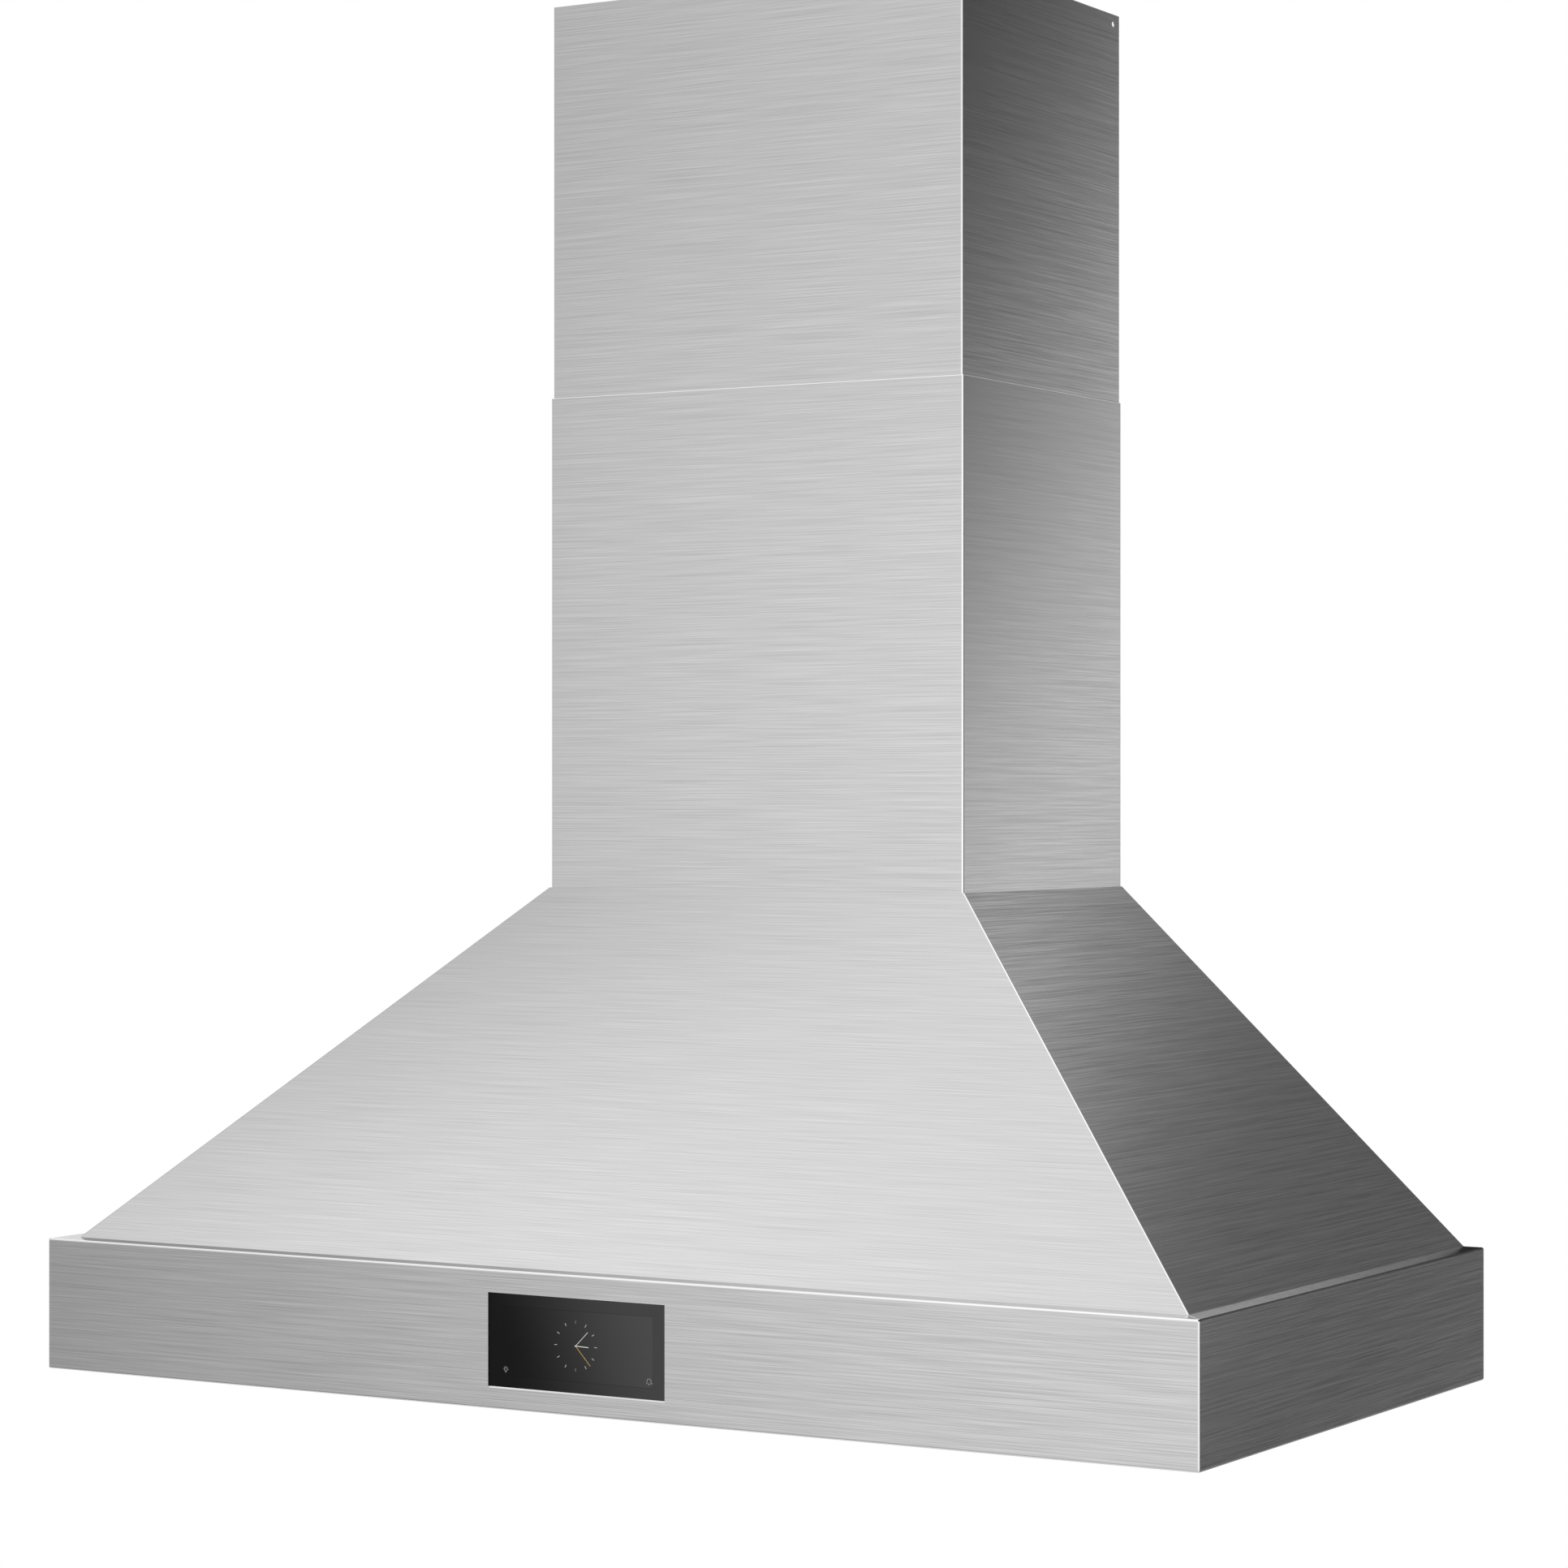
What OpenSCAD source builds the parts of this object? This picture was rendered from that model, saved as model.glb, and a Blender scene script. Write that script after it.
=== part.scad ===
// Wall chimney range hood: a deep rim with a touch display, a sloping canopy, a telescoping duct
// cover, a double-inlet blower, a backdraft damper, hinged baffle filters and a grease tray.
// The origin is at the middle of the footprint, level with the bottom of the rim.
// X runs to the right, Y towards the wall and Z up.

/* [Canopy] */
// Width of the hood at the rim
hood_w = 1219.2; // [1160:0.1:1260]
// Depth of the hood from the wall to the front of the rim
hood_d = 629.5; // [615:0.5:660]
// Height of the straight rim
rim_h = 125.2; // [120:0.1:145]
// Height of the sloping canopy above the rim
canopy_h = 336.4; // [325:0.1:370]
// Ledge at each side between the rim and the foot of the canopy
ledge_side = 20.1; // [12:0.1:30]
// Ledge at the front between the rim and the foot of the canopy
ledge_front = 22.3; // [12:0.1:30]
// How far the ledge reaches under the canopy, where the two are welded
ledge_lap = 10; // [6:0.5:14]
// Thickness of the hood's steel sheet
sheet_t = 1.2; // [0.8:0.1:1.5]
// Outer radius of the bends in the sheet
bend_r = 2; // [1.8:0.1:3]
// Width of the turned-in bottom edge at the front of the rim
front_return = 40; // [36:0.5:46]
// Width of the turned-in bottom edge at the sides and the back
side_return = 20; // [16:0.5:24]

/* [Duct cover] */
// Width of the lower cover
cover_w = 458; // [440:0.5:480]
// Depth of the lower cover
cover_d = 328.3; // [320:0.1:345]
// Height of the lower cover
lower_h = 478.9; // [420:0.1:520]
// Height of the upper cover
upper_h = 480; // [440:1:520]
// How far the upper cover stands out of the lower one
upper_out = 383.3; // [300:0.1:390]
// Thickness of the cover sheet
cover_t = 1; // [0.8:0.1:1.2]
// Radius of the covers' top edges
cover_edge = 0.8; // [0.3:0.1:0.9]
// Sliding gap between the two covers
slide_gap = 0.6; // [0.4:0.1:1]
// How far the crown of the canopy stands out past the cover
crown_margin = 1.7; // [1:0.1:4]
// Width of the stiffening lips at the back of the upper cover
lip_w = 15; // [10:1:20]
// Length at the top of the upper cover that has no lips
lip_drop = 45; // [30:1:60]
// Diameter of the fixing holes in the upper cover
fix_d = 5.5; // [4:0.1:7]
// Distance of each fixing hole from the wall
fix_back = 13; // [9:0.5:18]
// Distance of each fixing hole below the top of the cover
fix_down = 10; // [7:0.5:16]

/* [Display] */
// Width of the cut-out for the display
display_w = 188.2; // [160:0.1:220]
// Height of the cut-out for the display
display_h = 84.5; // [70:0.1:90]
// Height of the middle of the display above the bottom of the rim
display_z = 62.4; // [57:0.1:66]
// Height of the bevel along the bottom of the cut-out
display_bevel = 1.3; // [0.6:0.1:2]
// How far the glass reaches behind the sheet
glass_lap = 5; // [4:0.5:6]
// Thickness of the display glass
glass_t = 3; // [2:0.5:4]
// Thickness of the seal between the glass and the sheet
seal_t = 0.5; // [0.3:0.1:0.8]
// Width of the display panel's lit area
lcd_w = 162.8; // [140:0.1:180]
// Height of the display panel's lit area
lcd_h = 62; // [54:0.1:66]
// Thickness of the display panel
lcd_t = 5; // [3:0.5:7]
// Depth of the housing behind the glass
housing_depth = 24; // [20:1:28]

/* [Underside] */
// Height of the underside panel above the bottom of the rim
soffit_z = 30; // [28:0.5:34]
// Width of the panel beside the filters
side_soffit = 26; // [20:1:40]
// Width of the panel behind the filters
rear_soffit = 10; // [6:1:14]
// Number of filters
filter_count = 4; // [3:1:5]
// Depth of the panel in front of the filters, which holds the lamps
lamp_strip = 107; // [96:0.5:120]
// Thickness of a filter
filter_t = 20; // [18:0.5:22]
// Slope of the filters, lower at the back
filter_slope = 9; // [7:0.5:10]
// Largest width of a baffle's pitch
baffle_pitch = 36; // [30:1:44]
// Thickness of the filter sheet
filter_sheet = 1; // [0.8:0.1:1.2]
// Width of the lip round a filter
filter_lip = 14; // [10:1:18]
// Gap between a filter and its rail
filter_gap = 1.5; // [1.2:0.1:2.5]
// Width of a filter rail
rail_w = 12; // [10:0.5:16]
// Radius of a filter's hinge stud
stud_r = 3; // [2.5:0.1:3.5]
// How far the hinge studs sit from the back of a filter
filter_tail = 30; // [28:1:34]
// Height of the hinge studs above the bottom of the rim
pivot_z = 47; // [46:0.5:50]
// Diameter of the wire of a filter's handle
handle_wire = 6; // [5:0.5:8]
// Length of a filter's handle
handle_l = 96; // [80:1:120]
// How far a handle stands off its filter
handle_drop = 26; // [20:1:30]
// Depth of the grease tray from front to back
tray_d = 58; // [50:1:62]
// Height of the grease tray
tray_h = 16; // [12:0.5:18]

/* [Lamps] */
// Number of lamps
lamp_count = 4; // [2:1:6]
// Distance between lamps
lamp_pitch = 270; // [150:5:280]
// Diameter of a lamp's body
lamp_d = 66; // [56:1:72]
// Height of a lamp's body
lamp_h = 42; // [34:1:50]

/* [Blower] */
// Radius of the blower wheel
wheel_r = 112; // [104:0.5:114]
// Width of the blower wheel
wheel_w = 172; // [150:1:180]
// Number of blades on the wheel
blade_count = 36; // [28:1:44]
// Inner width of the scroll
scroll_w = 200; // [196:1:210]
// Smallest gap between the wheel and the scroll
scroll_gap = 12; // [8:0.5:14]
// How much the scroll opens in each quarter turn
scroll_step = 16; // [12:0.5:17]
// Depth of the scroll's outlet
throat = 150; // [140:1:152]
// Thickness of the blower's sheet
scroll_t = 1; // [0.8:0.1:1.5]
// Distance of the wheel's shaft below the crown of the canopy
shaft_drop = 161; // [155:0.5:166]
// Radius of the blower's inlets
inlet_r = 84; // [76:1:86]
// Radius of the motor
motor_r = 48; // [40:1:54]
// Radius of the motor's shaft
shaft_r = 5; // [4:0.5:6]

/* [Duct collar] */
// Outer diameter of the duct collar
duct_d = 254; // [240:1:258]
// Height of the duct collar above its flange
collar_h = 70; // [60:1:90]
// Height of the damper's rod above the crown
rod_rise = 26; // [20:1:30]
// Radius of the damper's rod
rod_r = 3; // [2:0.5:4]
// Thickness of the damper's flaps
flap_t = 1; // [0.8:0.1:1.5]

/* [Mounting] */
// Distance between the screw holes in the back, left to right
bolt_x = 760; // [700:5:800]
// Distance between the screw holes in the back, top to bottom
bolt_z = 70; // [50:1:90]
// Height of the lower screw holes
bolt_low = 160; // [150:1:170]
// Diameter of the screw holes in the back
bolt_d = 9; // [6:0.5:11]
// Distance between the hanging slots
slot_x = 360; // [320:5:400]
// Height of the hanging slots
slot_z = 405; // [395:1:410]
// Length of a hanging slot
slot_l = 26; // [20:1:32]
// Bore of the grommet that the supply cable comes in through
entry_d = 16; // [12:0.5:18]

/* [Electrics] */
// Width of the power unit's box
power_w = 160; // [120:1:180]
// Depth of the power unit's box
power_d = 52; // [40:1:60]
// Height of the power unit's box
power_h = 84; // [70:1:100]
// Distance of the power unit's left side from the middle
power_x = 325; // [320:1:340]
// Height of the power unit's box above the bottom of the rim
power_z = 256; // [250:1:262]
// Width of the junction box
joint_w = 110; // [90:1:120]
// Depth of the junction box
joint_d = 48; // [40:1:56]
// Height of the junction box
joint_h = 76; // [60:1:90]
// Distance of the junction box from the middle
joint_x = 170; // [160:1:180]
// Height of the junction box above the bottom of the rim
joint_z = 262; // [255:1:270]

/* [Hidden] */
$fn = 64;

// Clearances
running = 0.05;
seat_gap = 0.3;
screw_r = 2;
screw_play = 0.15;

// How far a cutting solid runs past what it cuts
past = 60;

// Main planes of the hood
y_front = -hood_d / 2;
y_wall = hood_d / 2;
top_z = rim_h + canopy_h;
foot_w = hood_w - 2 * ledge_side;
foot_y = y_front + ledge_front;
crown_w = cover_w + 2 * crown_margin;
crown_y = y_wall - cover_d - crown_margin;

// Slopes of the canopy, and the level width that one millimetre of sloping sheet takes up
side_k = (foot_w - crown_w) / 2 / canopy_h;
front_k = (crown_y - foot_y) / canopy_h;
side_inset = sqrt(1 + side_k * side_k);
front_inset = sqrt(1 + front_k * front_k);

// Duct covers
cover_play = cover_t + slide_gap;
upper_w = cover_w - 2 * cover_play;
upper_d = cover_d - cover_play;
lower_top = top_z + lower_h;
upper_top = lower_top + upper_out;
upper_bottom = upper_top - upper_h;
duct_y = y_wall - cover_d / 2;
cleat_l = 90;
cleat_leg = 20;

// Underside and filter bay
pan_x = hood_w / 2 - side_return;
pan_y0 = y_front + front_return;
pan_y1 = y_wall - side_return;
pan_lap = 12;
bay_lap = 12;
bay_lip = 16;
bay_w = 2 * (pan_x - sheet_t - side_soffit);
bay_y1 = pan_y1 - sheet_t - rear_soffit;
tray_gap = 3;
tray_y1 = bay_y1 - tray_gap;
tray_y0 = tray_y1 - tray_d;
hinge_gap = 16;
pivot_y = tray_y0 - hinge_gap;
bay_y0 = pan_y0 + sheet_t + lamp_strip;
swing_gap = 3;
front_sweep = pivot_y - swing_gap - bay_y0;
reach = sqrt(front_sweep * front_sweep - filter_t * filter_t / 4);
filter_l = reach + filter_tail;
bay_top = pivot_z + reach * sin(filter_slope) + filter_t / 2 * cos(filter_slope) + seat_gap + sheet_t;
filter_w = (bay_w - (filter_count + 1) * rail_w) / filter_count - 2 * filter_gap;
filter_pitch = filter_w + 2 * filter_gap + rail_w;
baffle_count = ceil((filter_w - 2 * filter_sheet) / baffle_pitch);
baffle_step = (filter_w - 2 * filter_sheet) / baffle_count;
hinge_rise = 18;
clip_space = 8;
tray_top = pivot_z - hinge_rise;
tray_half = bay_w / 2 - sheet_t - clip_space;
clip_l = 36;
ledge_top = soffit_z + 2 * sheet_t;
pull_w = 80;
pull_d = 9;
rail_t = 1.5;
rail_below = 1;
rail_above = 2;
spring_t = 0.5;
spring_l = 28;
spring_w = 8;
spring_in = 40;
spring_y = -reach + spring_in;
drain_count = 5;
drain_l = 18;
drain_w = 3;
baffle_lip = 5;
baffle_gap = 0.6;
baffle_w = 0.66 * baffle_step;
hinge_l = filter_gap + 4;

// Display
bevel_deep = sheet_t - 0.2;
lcd_edge = 3;
board_space = 6;
lcd_low = seal_t + glass_t;
board_low = lcd_low + lcd_t + board_space;
housing_wall = 2;
housing_post = 15;
post_r = 4;
glass_rest = 4;
vent_count = 3;
vent_pitch = 16;
vent_w = 8;
vent_h = 48;
rib_in = 10;
rib_x = lcd_w / 2 - rib_in;
rib_w = 6;
rib_h = 20;
rib_play = 0.3;
stud_side = 6;
stud_past = 2;
ear_r = 6;
ear_t = 3;
nut_t = 3.2;
nut_r = 4;
board_side = 5;
board_t = 1.6;
chip_t = 2;
chips = [[-45, 8, 11], [6, -12, 8], [48, 14, 7]];
plug_x = 20;
plug_w = 38;
plug_h = 9;
plug_t = 7;

// Lamps
lamp_ring_t = 2.4;
lamp_y = pan_y0 + sheet_t + lamp_strip / 2;
lamp_flange = 5;
lamp_play = 0.5;
lamp_wall = 3;
lamp_side = lamp_d / 2 - 2;
lamp_bore = lamp_side - lamp_wall;
lamp_fin = 16;
lamp_cup = lamp_h - lamp_fin;
lamp_roof = 4;
lamp_flange_t = 1.5;
fin_step = 20;
fin_t = 1.8;
fin_in = 8;
core_r = 9;
ring_lip = 1;
ring_lip_t = 0.6;
ring_slope = 1.6;
lens_t = 4;
led_count = 6;
led_r = 2.6;
led_t = 0.8;

// Scroll: four arcs about the corners of a square, one for each quarter turn
scroll_right = wheel_r + scroll_gap + 3 * scroll_step;
shaft_y = duct_y + throat / 2 - scroll_right;
shaft_z = top_z - shaft_drop;
outlet_top = shaft_drop - sheet_t;
scroll_flange = 14;
blade_in = 0.83 * wheel_r;
blade_curve = 15;
blade_t = 1;
wheel_ring_w = 6;
wheel_ring_t = 2.5;
disc_t = 2;
disc_hole = 12;
disc_holes = 6;
hub_r = 14;
hub_l = 20;
inlet_roll = 9;
inlet_flange = 6;
motor_in = 12;
motor_nose = 10;
motor_taper = 8;
motor_past = 16;
motor_out = scroll_w / 2 + motor_past;
bearing_t = 6;
shaft_gap = 2;
shaft_past = 24;
motor_slots = 12;
slot_in = 16;
slot_deep = 9;
slot_h = 10;
slot_w = 4;
bracket_t = 2;
bracket_ring = 8;
arm_w = 14;
arm_past = 12;
cap_r = 17.5;
cap_l = 62;
cap_side = 20;
cap_y = scroll_right - cap_r - cap_side;
cap_z = 40;
cap_lid = 1.5;
spade_w = 6;
spade_t = 0.8;
spade_l = 8;
rivet_r = 3;
rivet_h = 1.2;
strap_t = 1;
strap_w = 14;
strap_foot = 12;

// Damper
rod_z = top_z + rod_rise;
knuckle_wall = 1.6;
knuckle_r = rod_r + knuckle_wall;
collar_r = duct_d / 2;
collar_in = collar_r - cover_t;
flap_play = 2;
flap_r = collar_in - flap_play;
flange_side = 18;
flange_half = collar_r + flange_side;
flange_screw = 7;
knuckle_w = flap_r / 5;
knuckle_step = 1.15 * knuckle_w;
seat_w = 9;
seat_t = 3;
rod_play = 0.2;

// Electrics
box_t = 1;
power_box = [power_w, power_d, power_h];
power_at = [-power_x, y_wall - sheet_t - power_d, power_z];
joint_box = [joint_w, joint_d, joint_h];
joint_at = [joint_x, y_wall - sheet_t - joint_d, joint_z];
tab_w = 22;
tab_h = 18;
lid_side = 12;
standoff = 8;
standoff_r = 3;
standoff_in = 5;
power_side = 8;
core = [32, 26, 44];
coil = [24, 30, 52];
relay = [18, 15, 12];
relay_x = 58;
relay_pitch = 15;
terminal = [12, 12, 48];
part_x = 12;
part_z = 12;
terminal_side = 6;
entry_side = 55.7;
entry_x = crown_w / 2 - entry_side;
entry_back = 42;
entry_y = y_wall - entry_back;
grommet_wall = 3;
grommet_lip = 2;
grommet_half = 4.5;

// ---- shared shapes ----

module block(low, high) {
    translate(low) cube(high - low);
}

// Children drawn in the YZ plane and extruded along X, centred
module along_x(length) {
    rotate([90, 0, 90]) linear_extrude(length, center = true) children();
}

module both_sides() {
    children();
    mirror([1, 0, 0]) children();
}

module ring(r_out, r_in, h) {
    linear_extrude(h) difference() {
        circle(r_out);
        circle(r_in);
    }
}

// Pan-head screw: its head stands up from z = 0 and its shank points down
module screw(length) {
    cylinder(r = 2 * screw_r, h = 1.2);
    translate([0, 0, 1.2]) cylinder(r1 = 2 * screw_r, r2 = 1.4 * screw_r, h = 0.8);
    translate([0, 0, -length]) cylinder(r = screw_r, h = length);
}

module screw_hole() {
    cylinder(r = screw_r + screw_play, h = 10, center = true);
}

// ---- canopy and rim ----

// Solid of the canopy, its planes moved in by t, with rounded hips
module canopy_body(t) {
    hull() for (z = [rim_h - past, top_z + past], sx = [-1, 1], back = [0, 1]) {
        x = foot_w / 2 - side_k * (z - rim_h) - bend_r * side_inset;
        y = foot_y + front_k * (z - rim_h) + bend_r * front_inset;
        translate([sx * x, back == 1 ? y_wall + past : y, z]) sphere(bend_r - t, $fn = 24);
    }
}

module canopy_shell() {
    intersection() {
        block([-foot_w, y_front, rim_h], [foot_w, y_wall, top_z]);
        difference() {
            canopy_body(0);
            canopy_body(sheet_t);
        }
    }
}

// Everything in front of the two upright planes through the hips
module front_sector() {
    foot = [foot_w / 2, foot_y];
    crown = [crown_w / 2, crown_y];
    low = foot + 0.3 * (foot - crown);
    high = crown + 0.1 * (crown - foot);
    linear_extrude(2 * top_z)
        polygon([[-low[0], low[1]], low, high, [-high[0], high[1]]]);
}

module canopy_front() {
    color("#d2d2d2") intersection() {
        canopy_shell();
        front_sector();
    }
}

module canopy_side(sx) {
    color("#9c9c9c") difference() {
        intersection() {
            canopy_shell();
            block([sx < 0 ? -foot_w : 0, y_front, 0], [sx < 0 ? 0 : foot_w, y_wall, 2 * top_z]);
        }
        front_sector();
    }
}

// Solid of the rim, its faces moved in by t, with every edge but the back ones rounded
module rim_body(t) {
    r = bend_r - t;
    x = hood_w / 2 - bend_r;
    y = y_front + bend_r;
    z = [bend_r, rim_h - bend_r];
    deep = hood_d + past;
    block([-x, y, z[0] - r], [x, y + deep, z[1] + r]);
    block([-x, y - r, z[0]], [x, y + deep, z[1]]);
    block([-x - r, y, z[0]], [x + r, y + deep, z[1]]);
    for (zc = z) {
        translate([0, y, zc]) rotate([0, 90, 0]) cylinder(r = r, h = 2 * x, center = true);
        for (xc = [-x, x]) translate([xc, y, zc]) {
            sphere(r);
            rotate([-90, 0, 0]) cylinder(r = r, h = deep);
        }
    }
    for (xc = [-x, x]) translate([xc, y, z[0]]) cylinder(r = r, h = z[1] - z[0]);
}

// Cut-out for the display, with a bevel along its bottom that sheds water
module display_window() {
    w = display_w / 2;
    h = display_h / 2;
    translate([0, y_front, display_z]) {
        block([-w, -1, -h], [w, 2 * bend_r, h]);
        along_x(2 * w) polygon([[-1, 0], [-1, -h - display_bevel], [0, -h - display_bevel],
            [bevel_deep, -h], [bevel_deep, 0]]);
    }
}

module rim_band() {
    color("#bdbdbd") difference() {
        intersection() {
            rim_body(0);
            block([-hood_w, y_front, 0], [hood_w, y_wall, rim_h]);
        }
        rim_body(sheet_t);
        block([-foot_w / 2 + ledge_lap, foot_y + ledge_lap, rim_h / 2],
            [foot_w / 2 - ledge_lap, y_wall + 1, rim_h + 1]);
        block([-pan_x, pan_y0, -1], [pan_x, y_wall + 1, rim_h / 2]);
        display_window();
        pan_screw_places() screw_hole();
    }
}

// Half the width of the back at a height, inside the side panels
function back_half(z) = foot_w / 2 - side_k * (z - rim_h) - sheet_t * side_inset - running;

module back_panel() {
    t = sheet_t;
    w = hood_w / 2 - t;
    c = bend_r - t;
    lap = foot_w / 2 - ledge_lap;
    edge = [[pan_x, 0], [pan_x, t], [w - c, t], [w, t + c], [w, rim_h - t - c], [w - c, rim_h - t],
        [lap, rim_h - t], [lap, rim_h], [back_half(rim_h), rim_h], [back_half(top_z), top_z]];
    color("#b4b4b4") difference() {
        union() {
            translate([0, y_wall, 0]) rotate([90, 0, 0]) linear_extrude(t)
                polygon(concat(edge, [for (i = [len(edge) - 1:-1:0]) [-edge[i][0], edge[i][1]]]));
            block([-pan_x, pan_y1, 0], [pan_x, y_wall, t]);
        }
        for (x = [-1, 1] * bolt_x / 2, z = [bolt_low, bolt_low + bolt_z])
            translate([x, y_wall + 1, z]) rotate([90, 0, 0]) cylinder(d = bolt_d, h = t + 2);
        for (x = [-1, 1] * slot_x / 2) translate([x, y_wall + 1, slot_z]) rotate([90, 0, 0])
            linear_extrude(t + 2) {
                square([slot_l - bolt_d, bolt_d], center = true);
                for (e = [-1, 1] * (slot_l - bolt_d) / 2) translate([e, 0]) circle(d = bolt_d);
            }
        pan_screw_places() screw_hole();
    }
}

// ---- crown and duct covers ----

module crown_plate() {
    x = crown_w / 2 - sheet_t * side_inset;
    y = crown_y + sheet_t * front_inset;
    color("#c0c0c0") difference() {
        block([-x, y, top_z - sheet_t], [x, y_wall - sheet_t, top_z]);
        block([-scroll_w / 2, duct_y - throat / 2, top_z - past],
            [scroll_w / 2, duct_y + throat / 2, top_z + past]);
        translate([entry_x, entry_y, top_z])
            cylinder(r = entry_d / 2 + grommet_wall, h = 10, center = true);
        collar_screw_places() screw_hole();
    }
}

// Angles that locate the lower cover from inside
module cover_cleats() {
    x = cover_w / 2 - cover_t;
    y = y_wall - cover_d + cover_t;
    color("#a8a8a8") {
        both_sides() for (yc = [-1, 1] * cover_d / 4) translate([x, duct_y + yc, top_z]) cleat();
        for (xc = [-1, 1] * cover_w / 4) translate([xc, y, top_z]) rotate(-90) cleat();
    }
}

module cleat() {
    difference() {
        block([-cleat_leg / 2, -cleat_l / 2, 0], [0, cleat_l / 2, cleat_leg]);
        block([-cleat_leg, -cleat_l, cover_t], [-cover_t, cleat_l, 2 * cleat_leg]);
    }
}

// Outline of a cover seen from above: open at the wall, rounded at the two front corners
module cover_outline(w, d, r) {
    translate([-w / 2 + r, y_wall - d]) square([w - 2 * r, d]);
    translate([-w / 2, y_wall - d + r]) square([w, d - r]);
    for (x = [-1, 1] * (w / 2 - r)) translate([x, y_wall - d + r]) circle(r);
}

// What rounding takes off an outer edge that lies at the origin
module edge_waste(e) {
    difference() {
        translate([-e, -e]) square(e + 1);
        translate([-e, -e]) circle(e);
    }
}

module cover_walls(w, d, h) {
    x = w / 2 - bend_r;
    y = y_wall - d + bend_r;
    difference() {
        linear_extrude(h) difference() {
            cover_outline(w, d, bend_r);
            translate([0, cover_t]) cover_outline(w - 2 * cover_t, d, bend_r - cover_t);
        }
        translate([0, y - bend_r, h]) rotate([90, 0, -90]) linear_extrude(2 * x, center = true)
            edge_waste(cover_edge);
        both_sides() {
            translate([w / 2, y + d, h]) rotate([90, 0, 0]) linear_extrude(d) edge_waste(cover_edge);
            translate([x, y, h]) rotate(-90) rotate_extrude(angle = 90) translate([bend_r, 0])
                edge_waste(cover_edge);
        }
    }
}

module lower_cover() {
    color("#cacaca") translate([0, 0, top_z]) cover_walls(cover_w, cover_d, lower_h);
}

module upper_cover() {
    color("#c2c2c2") difference() {
        union() {
            translate([0, 0, upper_bottom]) cover_walls(upper_w, upper_d, upper_h);
            both_sides() block([upper_w / 2 - lip_w, y_wall - cover_t, upper_bottom],
                [upper_w / 2, y_wall, upper_top - lip_drop]);
        }
        translate([0, y_wall - fix_back, upper_top - fix_down]) rotate([0, 90, 0])
            cylinder(d = fix_d, h = 2 * upper_w, center = true);
    }
}

// ---- underside ----

module pan_screw_places() {
    z = 2 * sheet_t;
    e = pan_lap / 2;
    for (x = [-1, 1] * (pan_x + e), y = [lamp_y, duct_y]) translate([x, y, z]) children();
    for (x = [-3, -1, 1, 3] * hood_w / 8, y = [pan_y0 - e, pan_y1 + e])
        translate([x, y, z]) children();
}

module underside_pan() {
    t = sheet_t;
    color("#c4c4c4") difference() {
        union() {
            block([-pan_x - pan_lap, pan_y0 - pan_lap, t],
                [pan_x + pan_lap, pan_y1 + pan_lap, 2 * t]);
            block([-pan_x, pan_y0, t], [pan_x, pan_y1, soffit_z + t]);
        }
        block([-pan_x + t, pan_y0 + t, -t], [pan_x - t, pan_y1 - t, soffit_z]);
        block([-bay_w / 2, bay_y0, 0], [bay_w / 2, bay_y1, 2 * soffit_z]);
        lamp_places() cylinder(r = lamp_d / 2 + lamp_play, h = 20, center = true);
        pan_screw_places() screw_hole();
    }
}

module filter_bay() {
    t = sheet_t;
    x = bay_w / 2;
    z0 = soffit_z + t;
    color("#b0b0b0") difference() {
        union() {
            block([-x - bay_lap, bay_y0 - bay_lap, z0], [x + bay_lap, pan_y1 - 2 * t, z0 + t]);
            block([-x - t, bay_y0 - t, z0], [x + t, bay_y1 + t, bay_top]);
        }
        block([-x, bay_y0, 0], [x, bay_y1, bay_top - t]);
        block([-x, bay_y0 + bay_lip, 0], [x, bay_y1, 2 * bay_top]);
    }
}

function filter_x(n) = (n - (filter_count + 1) / 2) * filter_pitch;

// Children in the frame of a filter: the origin on its hinge, -Y along it to the front
module on_slope(x) {
    translate([x, pivot_y, pivot_z]) rotate([-filter_slope, 0, 0]) children();
}

// Channels between the filters, with notches that hold the hinge studs
module filter_rails() {
    t = rail_t;
    w = rail_w / 2;
    low = -filter_t / 2 - rail_below;
    high = filter_t / 2 + rail_above;
    notch = stud_r + running;
    color("#a0a0a0") intersection() {
        for (n = [0:filter_count]) on_slope((n - filter_count / 2) * filter_pitch) difference() {
            block([-w, -filter_l - past, low], [w, filter_l, high]);
            block([-w + t, -filter_l - 2 * past, low + t], [w - t, 2 * filter_l, high + 1]);
            rotate([0, 90, 0]) cylinder(r = notch, h = 2 * rail_w, center = true);
            block([-rail_w, -notch, 0], [rail_w, notch, high + 1]);
        }
        union() {
            block([-hood_w, bay_y0, 0], [hood_w, tray_y0 - rail_t, bay_top - sheet_t]);
            block([-hood_w, bay_y0, ledge_top + seat_gap], [hood_w, bay_y1, bay_top - sheet_t]);
        }
    }
}

// Leaf springs on the rails that grip the sides of the filters near the front
module filter_springs() {
    bump = filter_gap - seat_gap;
    l = spring_l / 2;
    color("#e0e0e0") for (n = [1:filter_count]) on_slope(filter_x(n)) both_sides()
        translate([filter_w / 2 + filter_gap, spring_y, -spring_w / 2]) linear_extrude(spring_w)
            polygon([[0, -l], [0, l], [-spring_t, l], [-bump, 2], [-bump, -2], [-spring_t, -l]]);
}

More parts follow.
